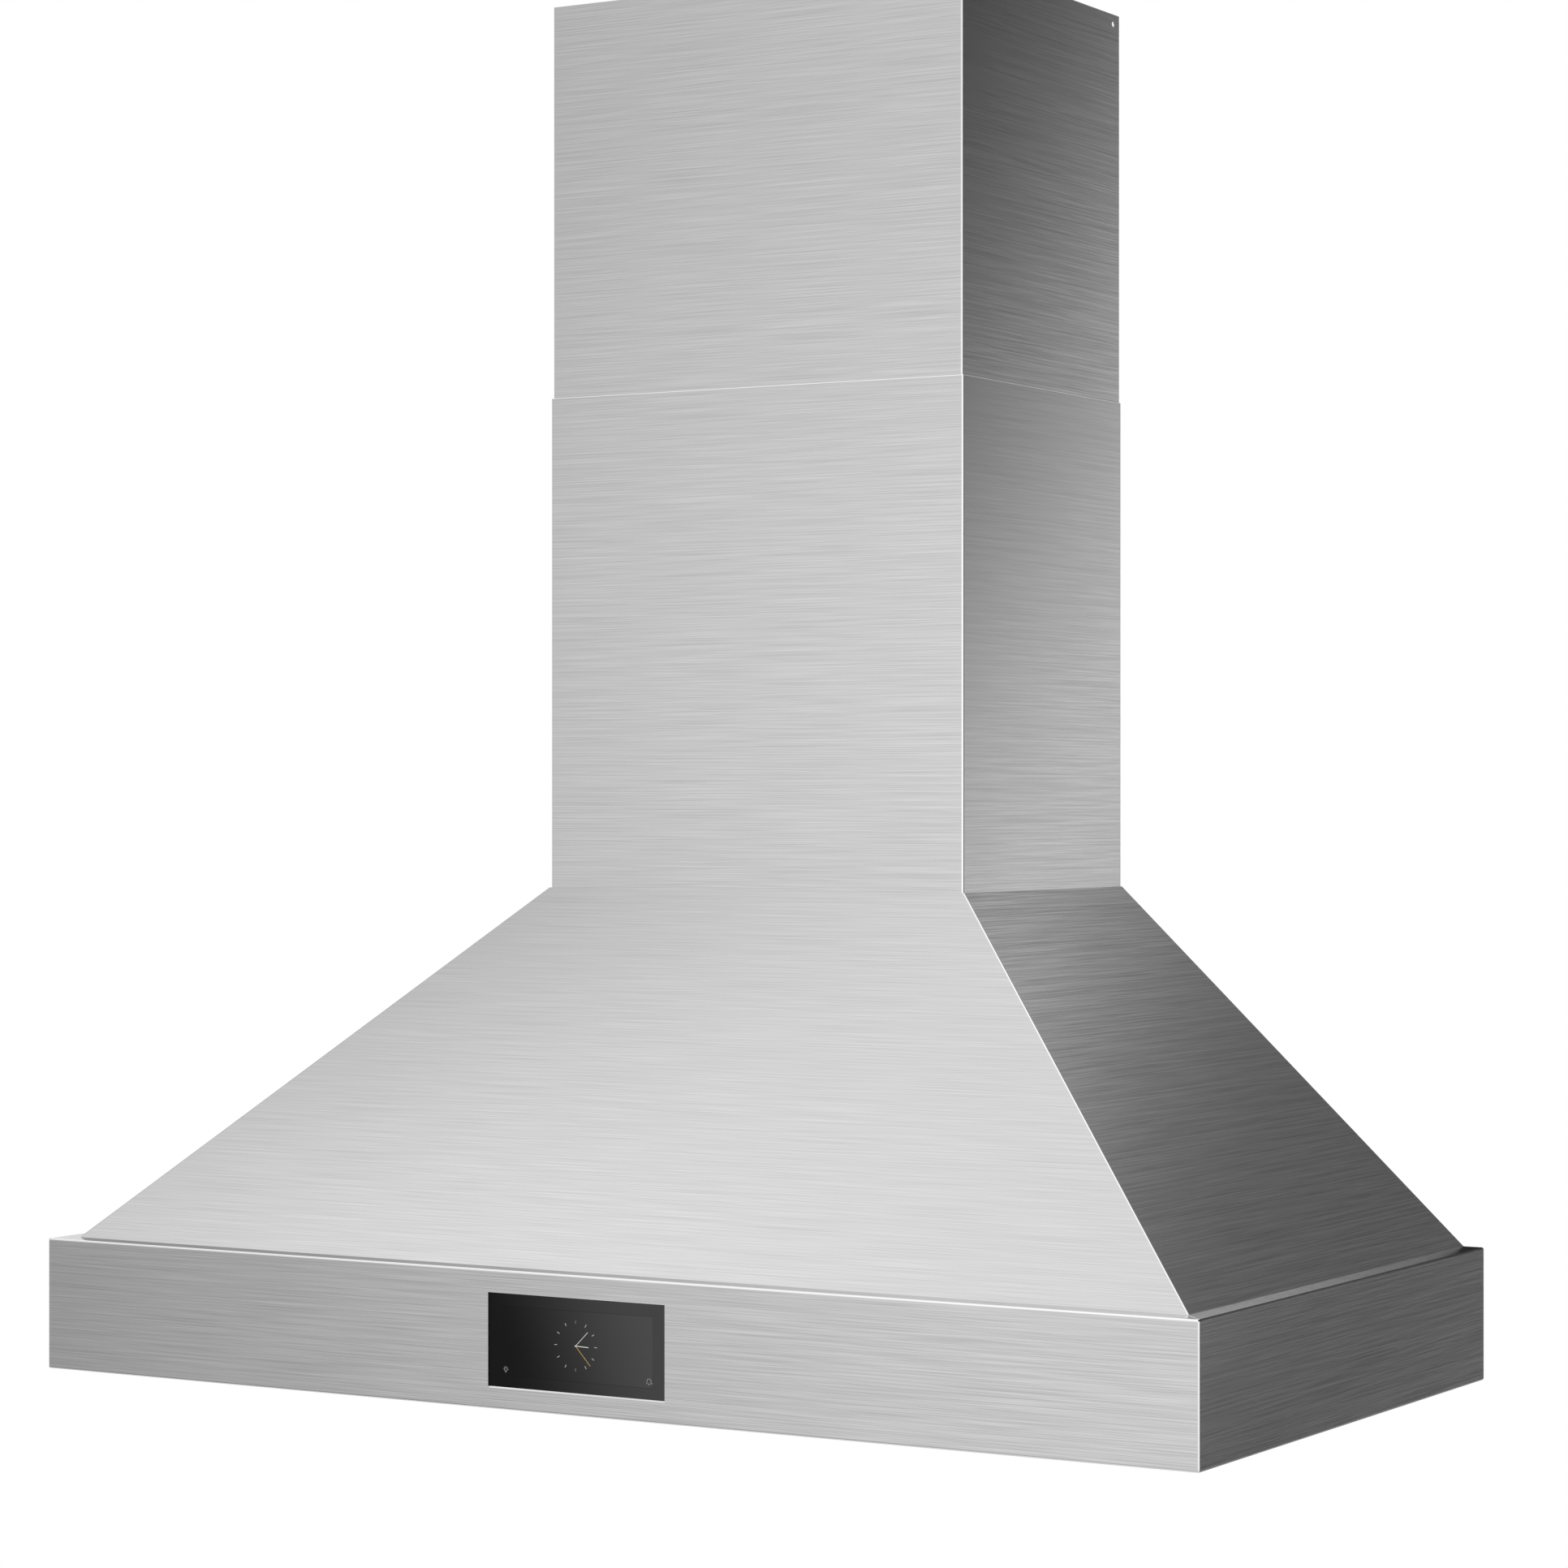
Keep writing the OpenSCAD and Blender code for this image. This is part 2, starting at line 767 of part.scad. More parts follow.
// Brackets at the ends of the grease tray, with leaf springs that grip it
module tray_clips() {
    x = bay_w / 2 - sheet_t;
    low = tray_top - tray_h;
    tip = tray_half + seat_gap;
    mid = (low + tray_top) / 2;
    color("#989898") both_sides() {
        block([x, tray_y0, low], [x + sheet_t, tray_y1, ledge_top]);
        translate([0, (tray_y0 + tray_y1 + clip_l) / 2, 0]) rotate([90, 0, 0]) linear_extrude(clip_l)
            polygon([[x, low], [x - spring_t, low], [tip, mid - 1], [tip, mid + 1],
                [x - spring_t, tray_top - 1], [x, tray_top - 1], [tip + spring_t, mid]]);
    }
}

module grease_tray() {
    t = sheet_t;
    low = tray_top - tray_h;
    color("#b8b8b8") {
        difference() {
            block([-tray_half, tray_y0, low], [tray_half, tray_y1, tray_top]);
            block([-tray_half + t, tray_y0 + t, low + t], [tray_half - t, tray_y1 - t, tray_top + 1]);
        }
        block([-pull_w / 2, tray_y0 - pull_d, low], [pull_w / 2, tray_y0 + t, low + t]);
    }
}

// ---- filters ----

module filter_frame(n) {
    t = filter_sheet;
    w = filter_w / 2;
    h = filter_t / 2;
    e = filter_lip;
    drain_y = filter_tail - e / 2;
    color("#c6c6c6") on_slope(filter_x(n)) {
        difference() {
            block([-w, -reach, -h], [w, filter_tail, h]);
            block([-w + t, -reach + t, -h + t], [w - t, filter_tail - t, h - t]);
            block([-w + e, -reach + e, -filter_t], [w - e, filter_tail - e, filter_t]);
            for (i = [1:drain_count]) translate([(i / (drain_count + 1) - 0.5) * filter_w, drain_y, 0])
                block([-drain_l / 2, -drain_w / 2, -filter_t], [drain_l / 2, drain_w / 2, 0]);
        }
        both_sides() translate([w, 0, 0]) rotate([0, 90, 0])
            cylinder(r = stud_r, h = hinge_l);
    }
}

// A baffle's section: a channel with turned-in lips, open upwards
module baffle_section(w, h) {
    t = filter_sheet;
    difference() {
        translate([-w / 2, 0]) square([w, h]);
        translate([-w / 2 + t, t]) square([w - 2 * t, h - 2 * t]);
        translate([-w / 2 + baffle_lip, t]) square([w - 2 * baffle_lip, h]);
    }
}

// Two layers of channels that face each other and overlap, so that the air has to turn
module filter_baffles(n) {
    w = filter_w / 2;
    inner = filter_t / 2 - filter_sheet;
    h = inner - baffle_gap;
    color("#bababa") on_slope(filter_x(n)) translate([0, filter_tail - filter_sheet, 0])
        rotate([90, 0, 0]) linear_extrude(filter_l - 2 * filter_sheet) {
            for (i = [0:baffle_count - 1])
                translate([(i - (baffle_count - 1) / 2) * baffle_step, -inner])
                    baffle_section(baffle_w, h);
            for (i = [1:baffle_count - 1])
                translate([(i - baffle_count / 2) * baffle_step, inner]) mirror([0, 1])
                    baffle_section(baffle_w, h);
        }
}

// A bent wire handle welded under the front lip
module filter_handle(n) {
    r = handle_wire / 2;
    bend = 3 * r;
    half = handle_l / 2;
    color("#d8d8d8") on_slope(filter_x(n))
        translate([0, -reach + filter_lip / 2, -filter_t / 2 - handle_drop + r]) {
            rotate([0, 90, 0]) cylinder(r = r, h = 2 * (half - bend), center = true);
            both_sides() {
                translate([half - bend, 0, bend]) rotate([90, 90, 0])
                    rotate_extrude(angle = 90) translate([bend, 0]) circle(r);
                translate([half, 0, bend]) cylinder(r = r, h = handle_drop - r - bend);
            }
        }
}

// ---- display ----

module display_frame(low, high, grow, inner) {
    w = display_w / 2;
    h = display_h / 2;
    translate([0, y_front + sheet_t, display_z]) difference() {
        block([-w - grow, low, -h - grow], [w + grow, high, h + grow]);
        if (inner != undef) block([-w - inner, low - 1, -h - inner], [w + inner, high + 1, h + inner]);
    }
}

module display_seal() {
    color("#202020") display_frame(0, seal_t, glass_lap, 1);
}

module display_glass() {
    color("#101214") display_frame(seal_t, seal_t + glass_t, glass_lap, undef);
}

module display_panel() {
    x = lcd_w / 2 + lcd_edge;
    z = lcd_h / 2 + lcd_edge;
    color("#303438") translate([0, y_front + sheet_t, display_z])
        block([-x, lcd_low, -z], [x, lcd_low + lcd_t, z]);
}

// Places of the studs that hold the display's housing, on the back of the rim
module display_stud_places() {
    x = display_w / 2 + glass_lap + housing_wall + stud_side;
    z = display_h / 2 - housing_post;
    for (sx = [-1, 1] * x, sz = [-1, 1] * z)
        translate([sx, y_front + sheet_t, display_z + sz]) rotate([-90, 0, 0]) children();
}

// Moulded tray that holds the glass, the panel and the board against the rim
module display_housing() {
    w = display_w / 2 + glass_lap;
    h = display_h / 2 + glass_lap;
    deep = lcd_low + housing_depth;
    wall = housing_wall;
    rest = w - glass_rest;
    post = h - housing_post;
    behind = lcd_low + lcd_t;
    color("#2a2a2a") difference() {
        union() {
            translate([0, y_front + sheet_t, display_z]) {
                difference() {
                    block([-w - wall, 0, -h - wall], [w + wall, deep, h + wall]);
                    block([-w, -1, -h], [w, lcd_low, h]);
                    block([-rest, -1, -h + glass_rest], [rest, deep - wall, h - glass_rest]);
                    for (i = [-vent_count:vent_count]) translate([i * vent_pitch, deep, 0])
                        block([-vent_w / 2, -2 * wall, -vent_h / 2], [vent_w / 2, wall, vent_h / 2]);
                }
                for (x = [-1, 1] * (w - housing_post), z = [-1, 1] * post)
                    translate([x, board_low, z]) rotate([-90, 0, 0])
                        cylinder(r = post_r, h = deep - board_low - wall);
                for (x = [-1, 1] * rib_x) translate([x, behind, 0])
                    block([-rib_w / 2, 0, -rib_h / 2], [rib_w / 2, deep - wall - behind, rib_h / 2]);
            }
            display_stud_places() cylinder(r = ear_r, h = ear_t);
            both_sides() for (z = [-1, 1] * (display_h / 2 - housing_post))
                translate([w + wall / 2, y_front + sheet_t, display_z + z])
                    block([0, 0, -ear_r], [wall / 2 + stud_side, ear_t, ear_r]);
        }
        display_stud_places() cylinder(r = screw_r + screw_play, h = 3 * ear_t, center = true);
    }
}

// Studs welded to the back of the rim, with the nuts that hold the housing
module display_studs() {
    color("#dcdcdc") display_stud_places() {
        cylinder(r = screw_r, h = ear_t + nut_t + stud_past);
        translate([0, 0, ear_t]) linear_extrude(nut_t)
            polygon([for (i = [0:5]) nut_r * [cos(60 * i), sin(60 * i)]]);
    }
}

module control_board() {
    x = display_w / 2 - board_side;
    z = display_h / 2 - board_side;
    notch_x = rib_w / 2 + rib_play;
    notch_z = rib_h / 2 + rib_play;
    color("#1d5a34") translate([0, y_front + sheet_t + board_low, display_z]) {
        difference() {
            block([-x, -board_t, -z], [x, 0, z]);
            for (s = [-1, 1] * rib_x) translate([s, 0, 0])
                block([-notch_x, -2 * board_t, -notch_z], [notch_x, board_t, notch_z]);
        }
        for (c = chips) block([c[0] - c[2], 0, c[1] - c[2]], [c[0] + c[2], chip_t, c[1] + c[2]]);
        block([plug_x, 0, -z], [plug_x + plug_w, plug_t, -z + plug_h]);
    }
}

// ---- lamps ----

module lamp_places() {
    for (i = [0:lamp_count - 1])
        translate([(i - (lamp_count - 1) / 2) * lamp_pitch, lamp_y, soffit_z]) children();
}

// Finned cups above the underside panel
module lamp_bodies() {
    color("#8c8c8c") lamp_places() translate([0, 0, sheet_t]) {
        difference() {
            cylinder(r = lamp_side, h = lamp_cup);
            translate([0, 0, -1]) cylinder(r = lamp_bore, h = lamp_cup - lamp_roof + 1);
        }
        ring(lamp_d / 2 + lamp_flange, lamp_bore, lamp_flange_t);
        for (a = [0:fin_step:359]) rotate(a) block([fin_in, -fin_t / 2, lamp_cup - 1],
            [lamp_side - 1, fin_t / 2, lamp_cup + 0.75 * lamp_fin]);
        translate([0, 0, lamp_cup - 1]) cylinder(r = core_r, h = lamp_fin + 1);
    }
}

module lamp_rings() {
    inner = lamp_bore - lamp_wall;
    outer = lamp_d / 2 + lamp_flange;
    color("#dcdcdc") lamp_places() rotate_extrude() translate([0, -lamp_ring_t])
        polygon([[inner, ring_lip_t], [inner + ring_lip, 0], [outer - ring_slope, 0],
            [outer, lamp_ring_t], [inner, lamp_ring_t]]);
}

module lamp_lenses() {
    color("#f4f1e6") lamp_places() cylinder(r = lamp_bore - seat_gap, h = lens_t);
}

module lamp_boards() {
    r = lamp_bore - seat_gap;
    z = lamp_cup - lamp_roof;
    color("#e8e8e0") lamp_places() translate([0, 0, z]) {
        cylinder(r = r, h = sheet_t);
        for (i = [0:led_count - 1]) rotate(i * 360 / led_count) translate([0.55 * r, 0, -led_t])
            cylinder(r = led_r, h = led_t);
    }
}

// ---- blower ----

module on_shaft() {
    translate([0, shaft_y, shaft_z]) children();
}

// Inside of the scroll seen along the shaft, grown by g
module scroll_outline(g) {
    s = scroll_step / 2;
    r = wheel_r + scroll_gap + s;
    big = 3 * wheel_r;
    left = scroll_right - throat;
    intersection() {
        translate([-s, -s]) circle(r + g, $fn = 128);
        translate([-big, -s]) square([big + left, big]);
    }
    intersection() {
        translate([s, -s]) circle(r + 2 * s + g, $fn = 128);
        translate([s - big, -s - big]) square(big);
    }
    intersection() {
        translate([s, s]) circle(r + 4 * s + g, $fn = 128);
        translate([s, s - big]) square(big);
    }
    translate([left - g, s]) square([throat + 2 * g, outlet_top - s]);
}

module scroll_wrapper() {
    e = scroll_flange;
    left = scroll_right - throat;
    color("#b9bcbe") on_shaft() {
        along_x(scroll_w) difference() {
            scroll_outline(scroll_t);
            scroll_outline(0);
            translate([left, outlet_top - 1]) square([throat, 2]);
        }
        difference() {
            block([-scroll_w / 2 - e, left - e, outlet_top - scroll_t],
                [scroll_w / 2 + e, left + throat + e, outlet_top]);
            block([-scroll_w / 2, left, 0], [scroll_w / 2, left + throat, 2 * outlet_top]);
        }
    }
}

module scroll_sides() {
    color("#adb0b2") on_shaft() both_sides() translate([scroll_w / 2 + scroll_t / 2, 0, 0])
        along_x(scroll_t) difference() {
            intersection() {
                scroll_outline(scroll_t);
                translate([-top_z, -top_z]) square([2 * top_z, top_z + outlet_top - scroll_t]);
            }
            circle(inlet_r + inlet_roll + seat_gap);
        }
}

// Rolled inlet rings that guide the air into the wheel
module blower_inlets() {
    roll = inlet_roll;
    color("#c9ccce") on_shaft() both_sides() translate([scroll_w / 2 + scroll_t, 0, 0])
        rotate([0, 90, 0]) rotate_extrude() {
            translate([inlet_r, 0]) square([roll + inlet_flange, scroll_t]);
            difference() {
                translate([inlet_r, -roll]) square(roll);
                translate([inlet_r + roll, -roll]) circle(roll - scroll_t);
            }
        }
}

module blower_wheel() {
    color("#d4d6d8") on_shaft() {
        along_x(wheel_w) for (i = [0:blade_count - 1]) rotate(i * 360 / blade_count)
            intersection() {
                translate([(wheel_r + blade_in) / 2 - 4, 9]) difference() {
                    circle(blade_curve, $fn = 48);
                    circle(blade_curve - blade_t, $fn = 48);
                }
                translate([blade_in, -12]) square([wheel_r - blade_in - 0.5, 14]);
            }
        for (x = [-1, 1] * (wheel_w - wheel_ring_w) / 2) translate([x, 0, 0])
            along_x(wheel_ring_w) difference() {
                circle(wheel_r, $fn = 96);
                circle(wheel_r - wheel_ring_t, $fn = 96);
            }
        along_x(disc_t) difference() {
            circle(wheel_r - 1, $fn = 96);
            circle(shaft_r + running);
            for (i = [0:disc_holes - 1]) rotate(i * 360 / disc_holes)
                translate([wheel_r / 2, 0]) circle(disc_hole);
        }
        translate([-hub_l / 2, 0, 0]) along_x(hub_l) difference() {
            circle(hub_r);
            circle(shaft_r + running);
        }
    }
}

module motor_shaft() {
    low = -shaft_past;
    high = motor_out - bearing_t - shaft_gap;
    color("#e6e6e6") on_shaft() translate([(low + high) / 2, 0, 0]) along_x(high - low)
        circle(shaft_r);
}

module blower_motor() {
    side = motor_r - motor_taper;
    body = motor_out - motor_in - motor_nose;
    color("#4a4d50") on_shaft() difference() {
        translate([motor_in, 0, 0]) rotate([0, 90, 0]) {
            cylinder(r1 = side, r2 = motor_r, h = motor_nose);
            translate([0, 0, motor_nose]) cylinder(r = motor_r, h = body - motor_nose);
            translate([0, 0, body]) cylinder(r1 = motor_r, r2 = side, h = motor_nose);
        }
        rotate([0, 90, 0]) cylinder(r = shaft_r + running, h = motor_out - bearing_t);
        for (i = [0:motor_slots - 1]) rotate([i * 360 / motor_slots, 0, 0])
            translate([motor_out - slot_deep, motor_r - slot_in, -slot_w / 2])
                cube([2 * slot_deep, slot_h, slot_w]);
    }
}

// Ring round the motor and three arms to the side of the scroll
module motor_bracket() {
    x0 = scroll_w / 2 + 2 * scroll_t;
    arm = inlet_r + arm_past - motor_r;
    color("#8f9294") on_shaft() translate([x0 + bracket_t / 2, 0, 0]) along_x(bracket_t) {
        difference() {
            union() {
                circle(motor_r + bracket_ring);
                for (a = [30, 150, 270]) rotate(a) translate([motor_r, -arm_w / 2])
                    square([arm, arm_w]);
            }
            circle(motor_r + running);
        }
    }
}

// Capacitor of the motor, strapped to the left side of the scroll
module motor_capacitor() {
    sink = strap_t / 2;
    half = cap_r + strap_foot;
    color("#b8bbbe") on_shaft() translate([-scroll_w / 2 - scroll_t, cap_y, cap_z]) {
        translate([-strap_t - cap_r, 0, -cap_l / 2]) {
            cylinder(r = cap_r, h = cap_l);
            translate([0, 0, cap_l]) {
                cylinder(r1 = cap_r, r2 = cap_r - cap_lid, h = cap_lid);
                for (y = [-1, 1] * cap_r / 3) translate([0, y, cap_lid / 2])
                    block([-spade_w / 2, -spade_t / 2, 0], [spade_w / 2, spade_t / 2, spade_l]);
            }
            translate([0, 0, (cap_l - strap_w) / 2]) ring(cap_r + strap_t, cap_r - sink, strap_w);
        }
        block([-strap_t, -half, -strap_w / 2], [0, half, strap_w / 2]);
        for (y = [-1, 1] * (half - strap_foot / 3)) translate([-strap_t, y, 0]) rotate([0, -90, 0])
            cylinder(r1 = rivet_r, r2 = rivet_r - 1, h = rivet_h);
    }
}

// ---- duct collar and damper ----

module collar_screw_places() {
    e = flange_half - flange_screw;
    for (x = [-e, 0, e], y = [-e, 0, e]) if (x != 0 || y != 0)
        translate([x, duct_y + y, top_z + sheet_t]) children();
}

module duct_collar() {
    color("#b5b8ba") difference() {
        union() {
            block([-flange_half, duct_y - flange_half, top_z],
                [flange_half, duct_y + flange_half, top_z + sheet_t]);
            translate([0, duct_y, top_z]) cylinder(r = collar_r, h = collar_h, $fn = 128);
        }
        translate([0, duct_y, top_z - 1]) cylinder(r = collar_in, h = 2 * collar_h, $fn = 128);
        translate([0, duct_y, rod_z]) rotate([0, 90, 0])
            cylinder(r = rod_r + running, h = 2 * duct_d, center = true);
        collar_screw_places() screw_hole();
    }
}

// Ring inside the collar that the closed flaps rest on
module damper_seat() {
    color("#303030") translate([0, duct_y, rod_z - knuckle_r - seat_gap - seat_t])
        ring(collar_in, collar_in - seat_w, seat_t, $fn = 128);
}

module damper_rod() {
    color("#e2e2e2") translate([0, duct_y, rod_z]) rotate([0, 90, 0])
        cylinder(r = rod_r, h = duct_d - 2 * rod_play, center = true);
}

// A half-round flap on the +Y side; its knuckles take the places in list k
module damper_flap(k) {
    color("#c4c7c9") translate([0, duct_y, rod_z]) difference() {
        union() {
            translate([0, 0, -knuckle_r]) linear_extrude(flap_t) {
                intersection() {
                    circle(flap_r, $fn = 128);
                    translate([-flap_r, knuckle_r + 0.5]) square([2 * flap_r, flap_r]);
                }
                for (i = k) translate([i * knuckle_step - knuckle_w / 2, 0])
                    square([knuckle_w, knuckle_r + 1]);
            }
            for (i = k) translate([i * knuckle_step, 0, 0]) rotate([0, 90, 0])
                cylinder(r = knuckle_r, h = knuckle_w, center = true);
        }
        rotate([0, 90, 0]) cylinder(r = rod_r + running, h = duct_d, center = true);
    }
}

module damper_flap_back() {
    damper_flap([-3, -1, 1, 3]);
}

module damper_flap_front() {
    translate([0, 2 * duct_y, 0]) mirror([0, 1, 0]) damper_flap([-2, 0, 2]);
}

// ---- electrics ----

module lid_screw_places(size) {
    for (x = [tab_w / 2, size[0] - tab_w / 2]) translate([x, -box_t, size[2] / 2])
        rotate([90, 0, 0]) children();
}

// Box open at the front, with two tabs that take the screws of its lid
module open_box(size) {
    difference() {
        union() {
            difference() {
                cube(size);
                block([box_t, -1, box_t], [size[0] - box_t, size[1] - box_t, size[2] - box_t]);
            }
            for (x = [0, size[0] - tab_w]) translate([x, 0, (size[2] - tab_h) / 2])
                cube([tab_w, box_t, tab_h]);
        }
        lid_screw_places(size) screw_hole();
    }
}

// Lid of a box, turned over its front edge
module box_lid(size) {
    difference() {
        block([-box_t, -box_t, -box_t], [size[0] + box_t, lid_side, size[2] + box_t]);
        block([0, 0, 0], [size[0], 2 * lid_side, size[2]]);
        lid_screw_places(size) screw_hole();
    }
}

module power_box() {
    color("#9fa3a6") translate(power_at) open_box(power_box);
}

// A component that stands on the front of a board, centred on the origin
module on_board(size) {
    block([-size[0] / 2, -size[1], -size[2] / 2], [size[0] / 2, 0, size[2] / 2]);
}

// Board of the power unit on four posts, with its transformer, relays and terminals
module power_board() {
    size = [power_w - 2 * power_side, board_t, power_h - 2 * power_side];
    back = power_d - box_t - standoff - board_t;
    color("#1c5632") translate(power_at + [power_side, back, power_side]) {
        cube(size);
        for (x = [standoff_in, size[0] - standoff_in], z = [standoff_in, size[2] - standoff_in])
            translate([x, board_t, z]) rotate([-90, 0, 0]) cylinder(r = standoff_r, h = standoff);
        translate([part_x + core[0] / 2, 0, size[2] / 2]) {
            on_board(core);
            on_board(coil);
        }
        for (i = [0:2]) translate([relay_x + relay[0] / 2, 0, part_z + relay[2] / 2 + i * relay_pitch])
            on_board(relay);
        translate([size[0] - terminal_side - terminal[0] / 2, 0, size[2] / 2]) on_board(terminal);
    }
}

module power_box_lid() {
    color("#b3b7ba") translate(power_at) box_lid(power_box);
}

module junction_box() {
    color("#9fa3a6") translate(joint_at) open_box(joint_box);
}

module junction_box_lid() {
    color("#b3b7ba") translate(joint_at) box_lid(joint_box);
}

module lid_screws() {
    color("#e0e0e0") for (b = [[power_at, power_box], [joint_at, joint_box]])
        translate(b[0]) lid_screw_places(b[1]) screw(6);
}

// Rubber grommet in the crown plate for the supply cable
module supply_grommet() {
    r = entry_d / 2;
    neck = r + grommet_wall;
    lip = neck + grommet_lip;
    h = grommet_half;
    t = sheet_t / 2;
    color("#1c1c1c") translate([entry_x, entry_y, top_z - t]) rotate_extrude()
        polygon([[r, -h], [lip, -h], [lip, -t], [neck, -t], [neck, t], [lip, t], [lip, h], [r, h]]);
}

module collar_screws() {
    color("#dedede") collar_screw_places() screw(6);
}

module pan_screws() {
    color("#dedede") pan_screw_places() screw(2 * sheet_t);
}

rim_band();
canopy_front();
canopy_side(-1);  // canopy_side_left
canopy_side(1);  // canopy_side_right
back_panel();
crown_plate();
cover_cleats();
lower_cover();
upper_cover();
underside_pan();
filter_bay();
filter_rails();
filter_springs();
tray_clips();
grease_tray();
display_seal();
display_glass();
display_panel();
display_housing();
control_board();
lamp_bodies();
lamp_rings();
lamp_lenses();
lamp_boards();
scroll_wrapper();
scroll_sides();
blower_inlets();
blower_wheel();
motor_shaft();
blower_motor();
motor_bracket();
duct_collar();
damper_seat();
damper_rod();
damper_flap_front();
damper_flap_back();
power_box();
power_box_lid();
junction_box();
junction_box_lid();
supply_grommet();
collar_screws();
lid_screws();
pan_screws();
display_studs();
motor_capacitor();
power_board();
filter_frame(1);  // filter_frame_1
filter_frame(2);  // filter_frame_2
filter_frame(3);  // filter_frame_3
filter_frame(4);  // filter_frame_4
filter_baffles(1);  // filter_baffles_1
filter_baffles(2);  // filter_baffles_2
filter_baffles(3);  // filter_baffles_3
filter_baffles(4);  // filter_baffles_4
filter_handle(1);  // filter_handle_1
filter_handle(2);  // filter_handle_2
filter_handle(3);  // filter_handle_3
filter_handle(4);  // filter_handle_4
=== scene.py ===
import math

import bpy
from mathutils import Matrix, Vector


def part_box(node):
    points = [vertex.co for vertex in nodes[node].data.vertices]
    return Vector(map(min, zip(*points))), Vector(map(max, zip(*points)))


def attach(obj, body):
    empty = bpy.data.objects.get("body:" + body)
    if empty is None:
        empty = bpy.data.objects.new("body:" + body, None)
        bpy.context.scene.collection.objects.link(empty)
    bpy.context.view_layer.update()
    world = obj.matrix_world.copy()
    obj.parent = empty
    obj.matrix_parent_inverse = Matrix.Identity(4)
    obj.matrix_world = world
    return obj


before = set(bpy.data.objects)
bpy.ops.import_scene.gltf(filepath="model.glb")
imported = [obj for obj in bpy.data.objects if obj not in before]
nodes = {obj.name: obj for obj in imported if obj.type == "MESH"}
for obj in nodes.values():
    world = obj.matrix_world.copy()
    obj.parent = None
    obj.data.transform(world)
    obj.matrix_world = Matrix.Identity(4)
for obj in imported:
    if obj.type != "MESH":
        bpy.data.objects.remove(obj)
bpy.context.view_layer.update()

bpy.ops.object.select_all(action="DESELECT")

# ---- Studio ----
# A white seamless room. Shiny steel shows the room's own panels: bright walls and a bright ceiling
# in front, and behind the hood dark flags with a few bright strips that give its side depth.


class Wiring:
    """Adds nodes to one tree and joins them up. A value is a number, a tuple or a socket."""

    def __init__(self, tree):
        self.tree = tree

    def node(self, kind, **settings):
        n = self.tree.nodes.new("ShaderNode" + kind)
        for k, v in settings.items():
            setattr(n, k, v)
        return n

    def put(self, socket, value):
        if isinstance(value, bpy.types.NodeSocket):
            self.tree.links.new(value, socket)
        else:
            socket.default_value = value

    def feed(self, n, values, places=None):
        for i, v in zip(places or range(len(values)), values):
            self.put(n.inputs[i], v)
        return n

    def math(self, kind, *values):
        return self.feed(self.node("Math", operation=kind), values).outputs[0]

    def vector(self, kind, *values):
        n = self.feed(self.node("VectorMath", operation=kind), values)
        return n.outputs["Value" if kind in ("DOT_PRODUCT", "LENGTH") else "Vector"]

    def join(self, *values):
        return self.feed(self.node("CombineXYZ"), values).outputs[0]

    def split(self, value):
        return self.feed(self.node("SeparateXYZ"), (value,)).outputs

    def mix(self, mask, a, b):
        return self.feed(self.node("Mix", data_type="FLOAT"), (mask, a, b), (0, 2, 3)).outputs[0]

    def blend(self, mask, a, b):
        return self.feed(self.node("Mix", data_type="RGBA"), (mask, a, b), (0, 6, 7)).outputs[2]

    def span(self, value, low, high, to_low, to_high, smooth=False):
        n = self.node("MapRange", interpolation_type="SMOOTHSTEP" if smooth else "LINEAR")
        return self.feed(n, (value, low, high, to_low, to_high)).outputs[0]

    def ramp(self, value, reach, stops):
        """A level that runs straight between stops: each is a place on the reach and its level."""
        low, high = reach
        n = self.node("ValToRGB")
        while len(n.color_ramp.elements) < len(stops):
            n.color_ramp.elements.new(1.0)
        for e, (at, level) in zip(n.color_ramp.elements, stops):
            e.position = (at - low) / (high - low)
            e.color = (level, level, level, 1)
        self.put(n.inputs[0], self.span(value, low, high, 0.0, 1.0))
        return n.outputs[0]

    def noise(self, place, scale, detail=3.0, rough=.6):
        n = self.node("TexNoise")
        for socket, value in (("Vector", place), ("Scale", scale), ("Detail", detail), ("Roughness", rough)):
            self.put(n.inputs[socket], value)
        return n.outputs["Fac"]

    def spread(self, noise, to_low, to_high):
        """Stretches the part of its range that a noise mostly uses from to_low to to_high."""
        mostly_low, mostly_high = .3, .7
        return self.span(noise, mostly_low, mostly_high, to_low, to_high)

    def cells(self, place, scale, **settings):
        n = self.node("TexVoronoi", feature="F1", **settings)
        self.put(n.inputs["Vector"], place)
        self.put(n.inputs["Scale"], scale)
        return n.outputs

    def bump(self, shader, height, strength, distance):
        n = self.node("Bump")
        for socket, value in (("Strength", strength), ("Distance", distance), ("Height", height)):
            self.put(n.inputs[socket], value)
        self.put(shader.inputs["Normal"], n.outputs[0])


studio = bpy.data.worlds.new("studio")
bpy.context.scene.world = studio
studio.use_nodes = True
room = Wiring(studio.node_tree)
room.tree.nodes.clear()

# Directions in degrees: around counts from the front to the right, turned is the same to either
# side, and height counts up from level. Each stop of a ramp is a direction and its brightness.
x_part, y_part, z_part = room.split(room.node("TexCoord").outputs["Generated"])
height = room.math("DEGREES", room.math("ARCSINE", z_part))
around = room.math("DEGREES", room.math("ARCTAN2", x_part, room.math("MULTIPLY", y_part, -1.0)))
turned = room.math("ABSOLUTE", around)
full_turn, half_turn, rise = (-180, 180), (0, 180), (-90, 90)

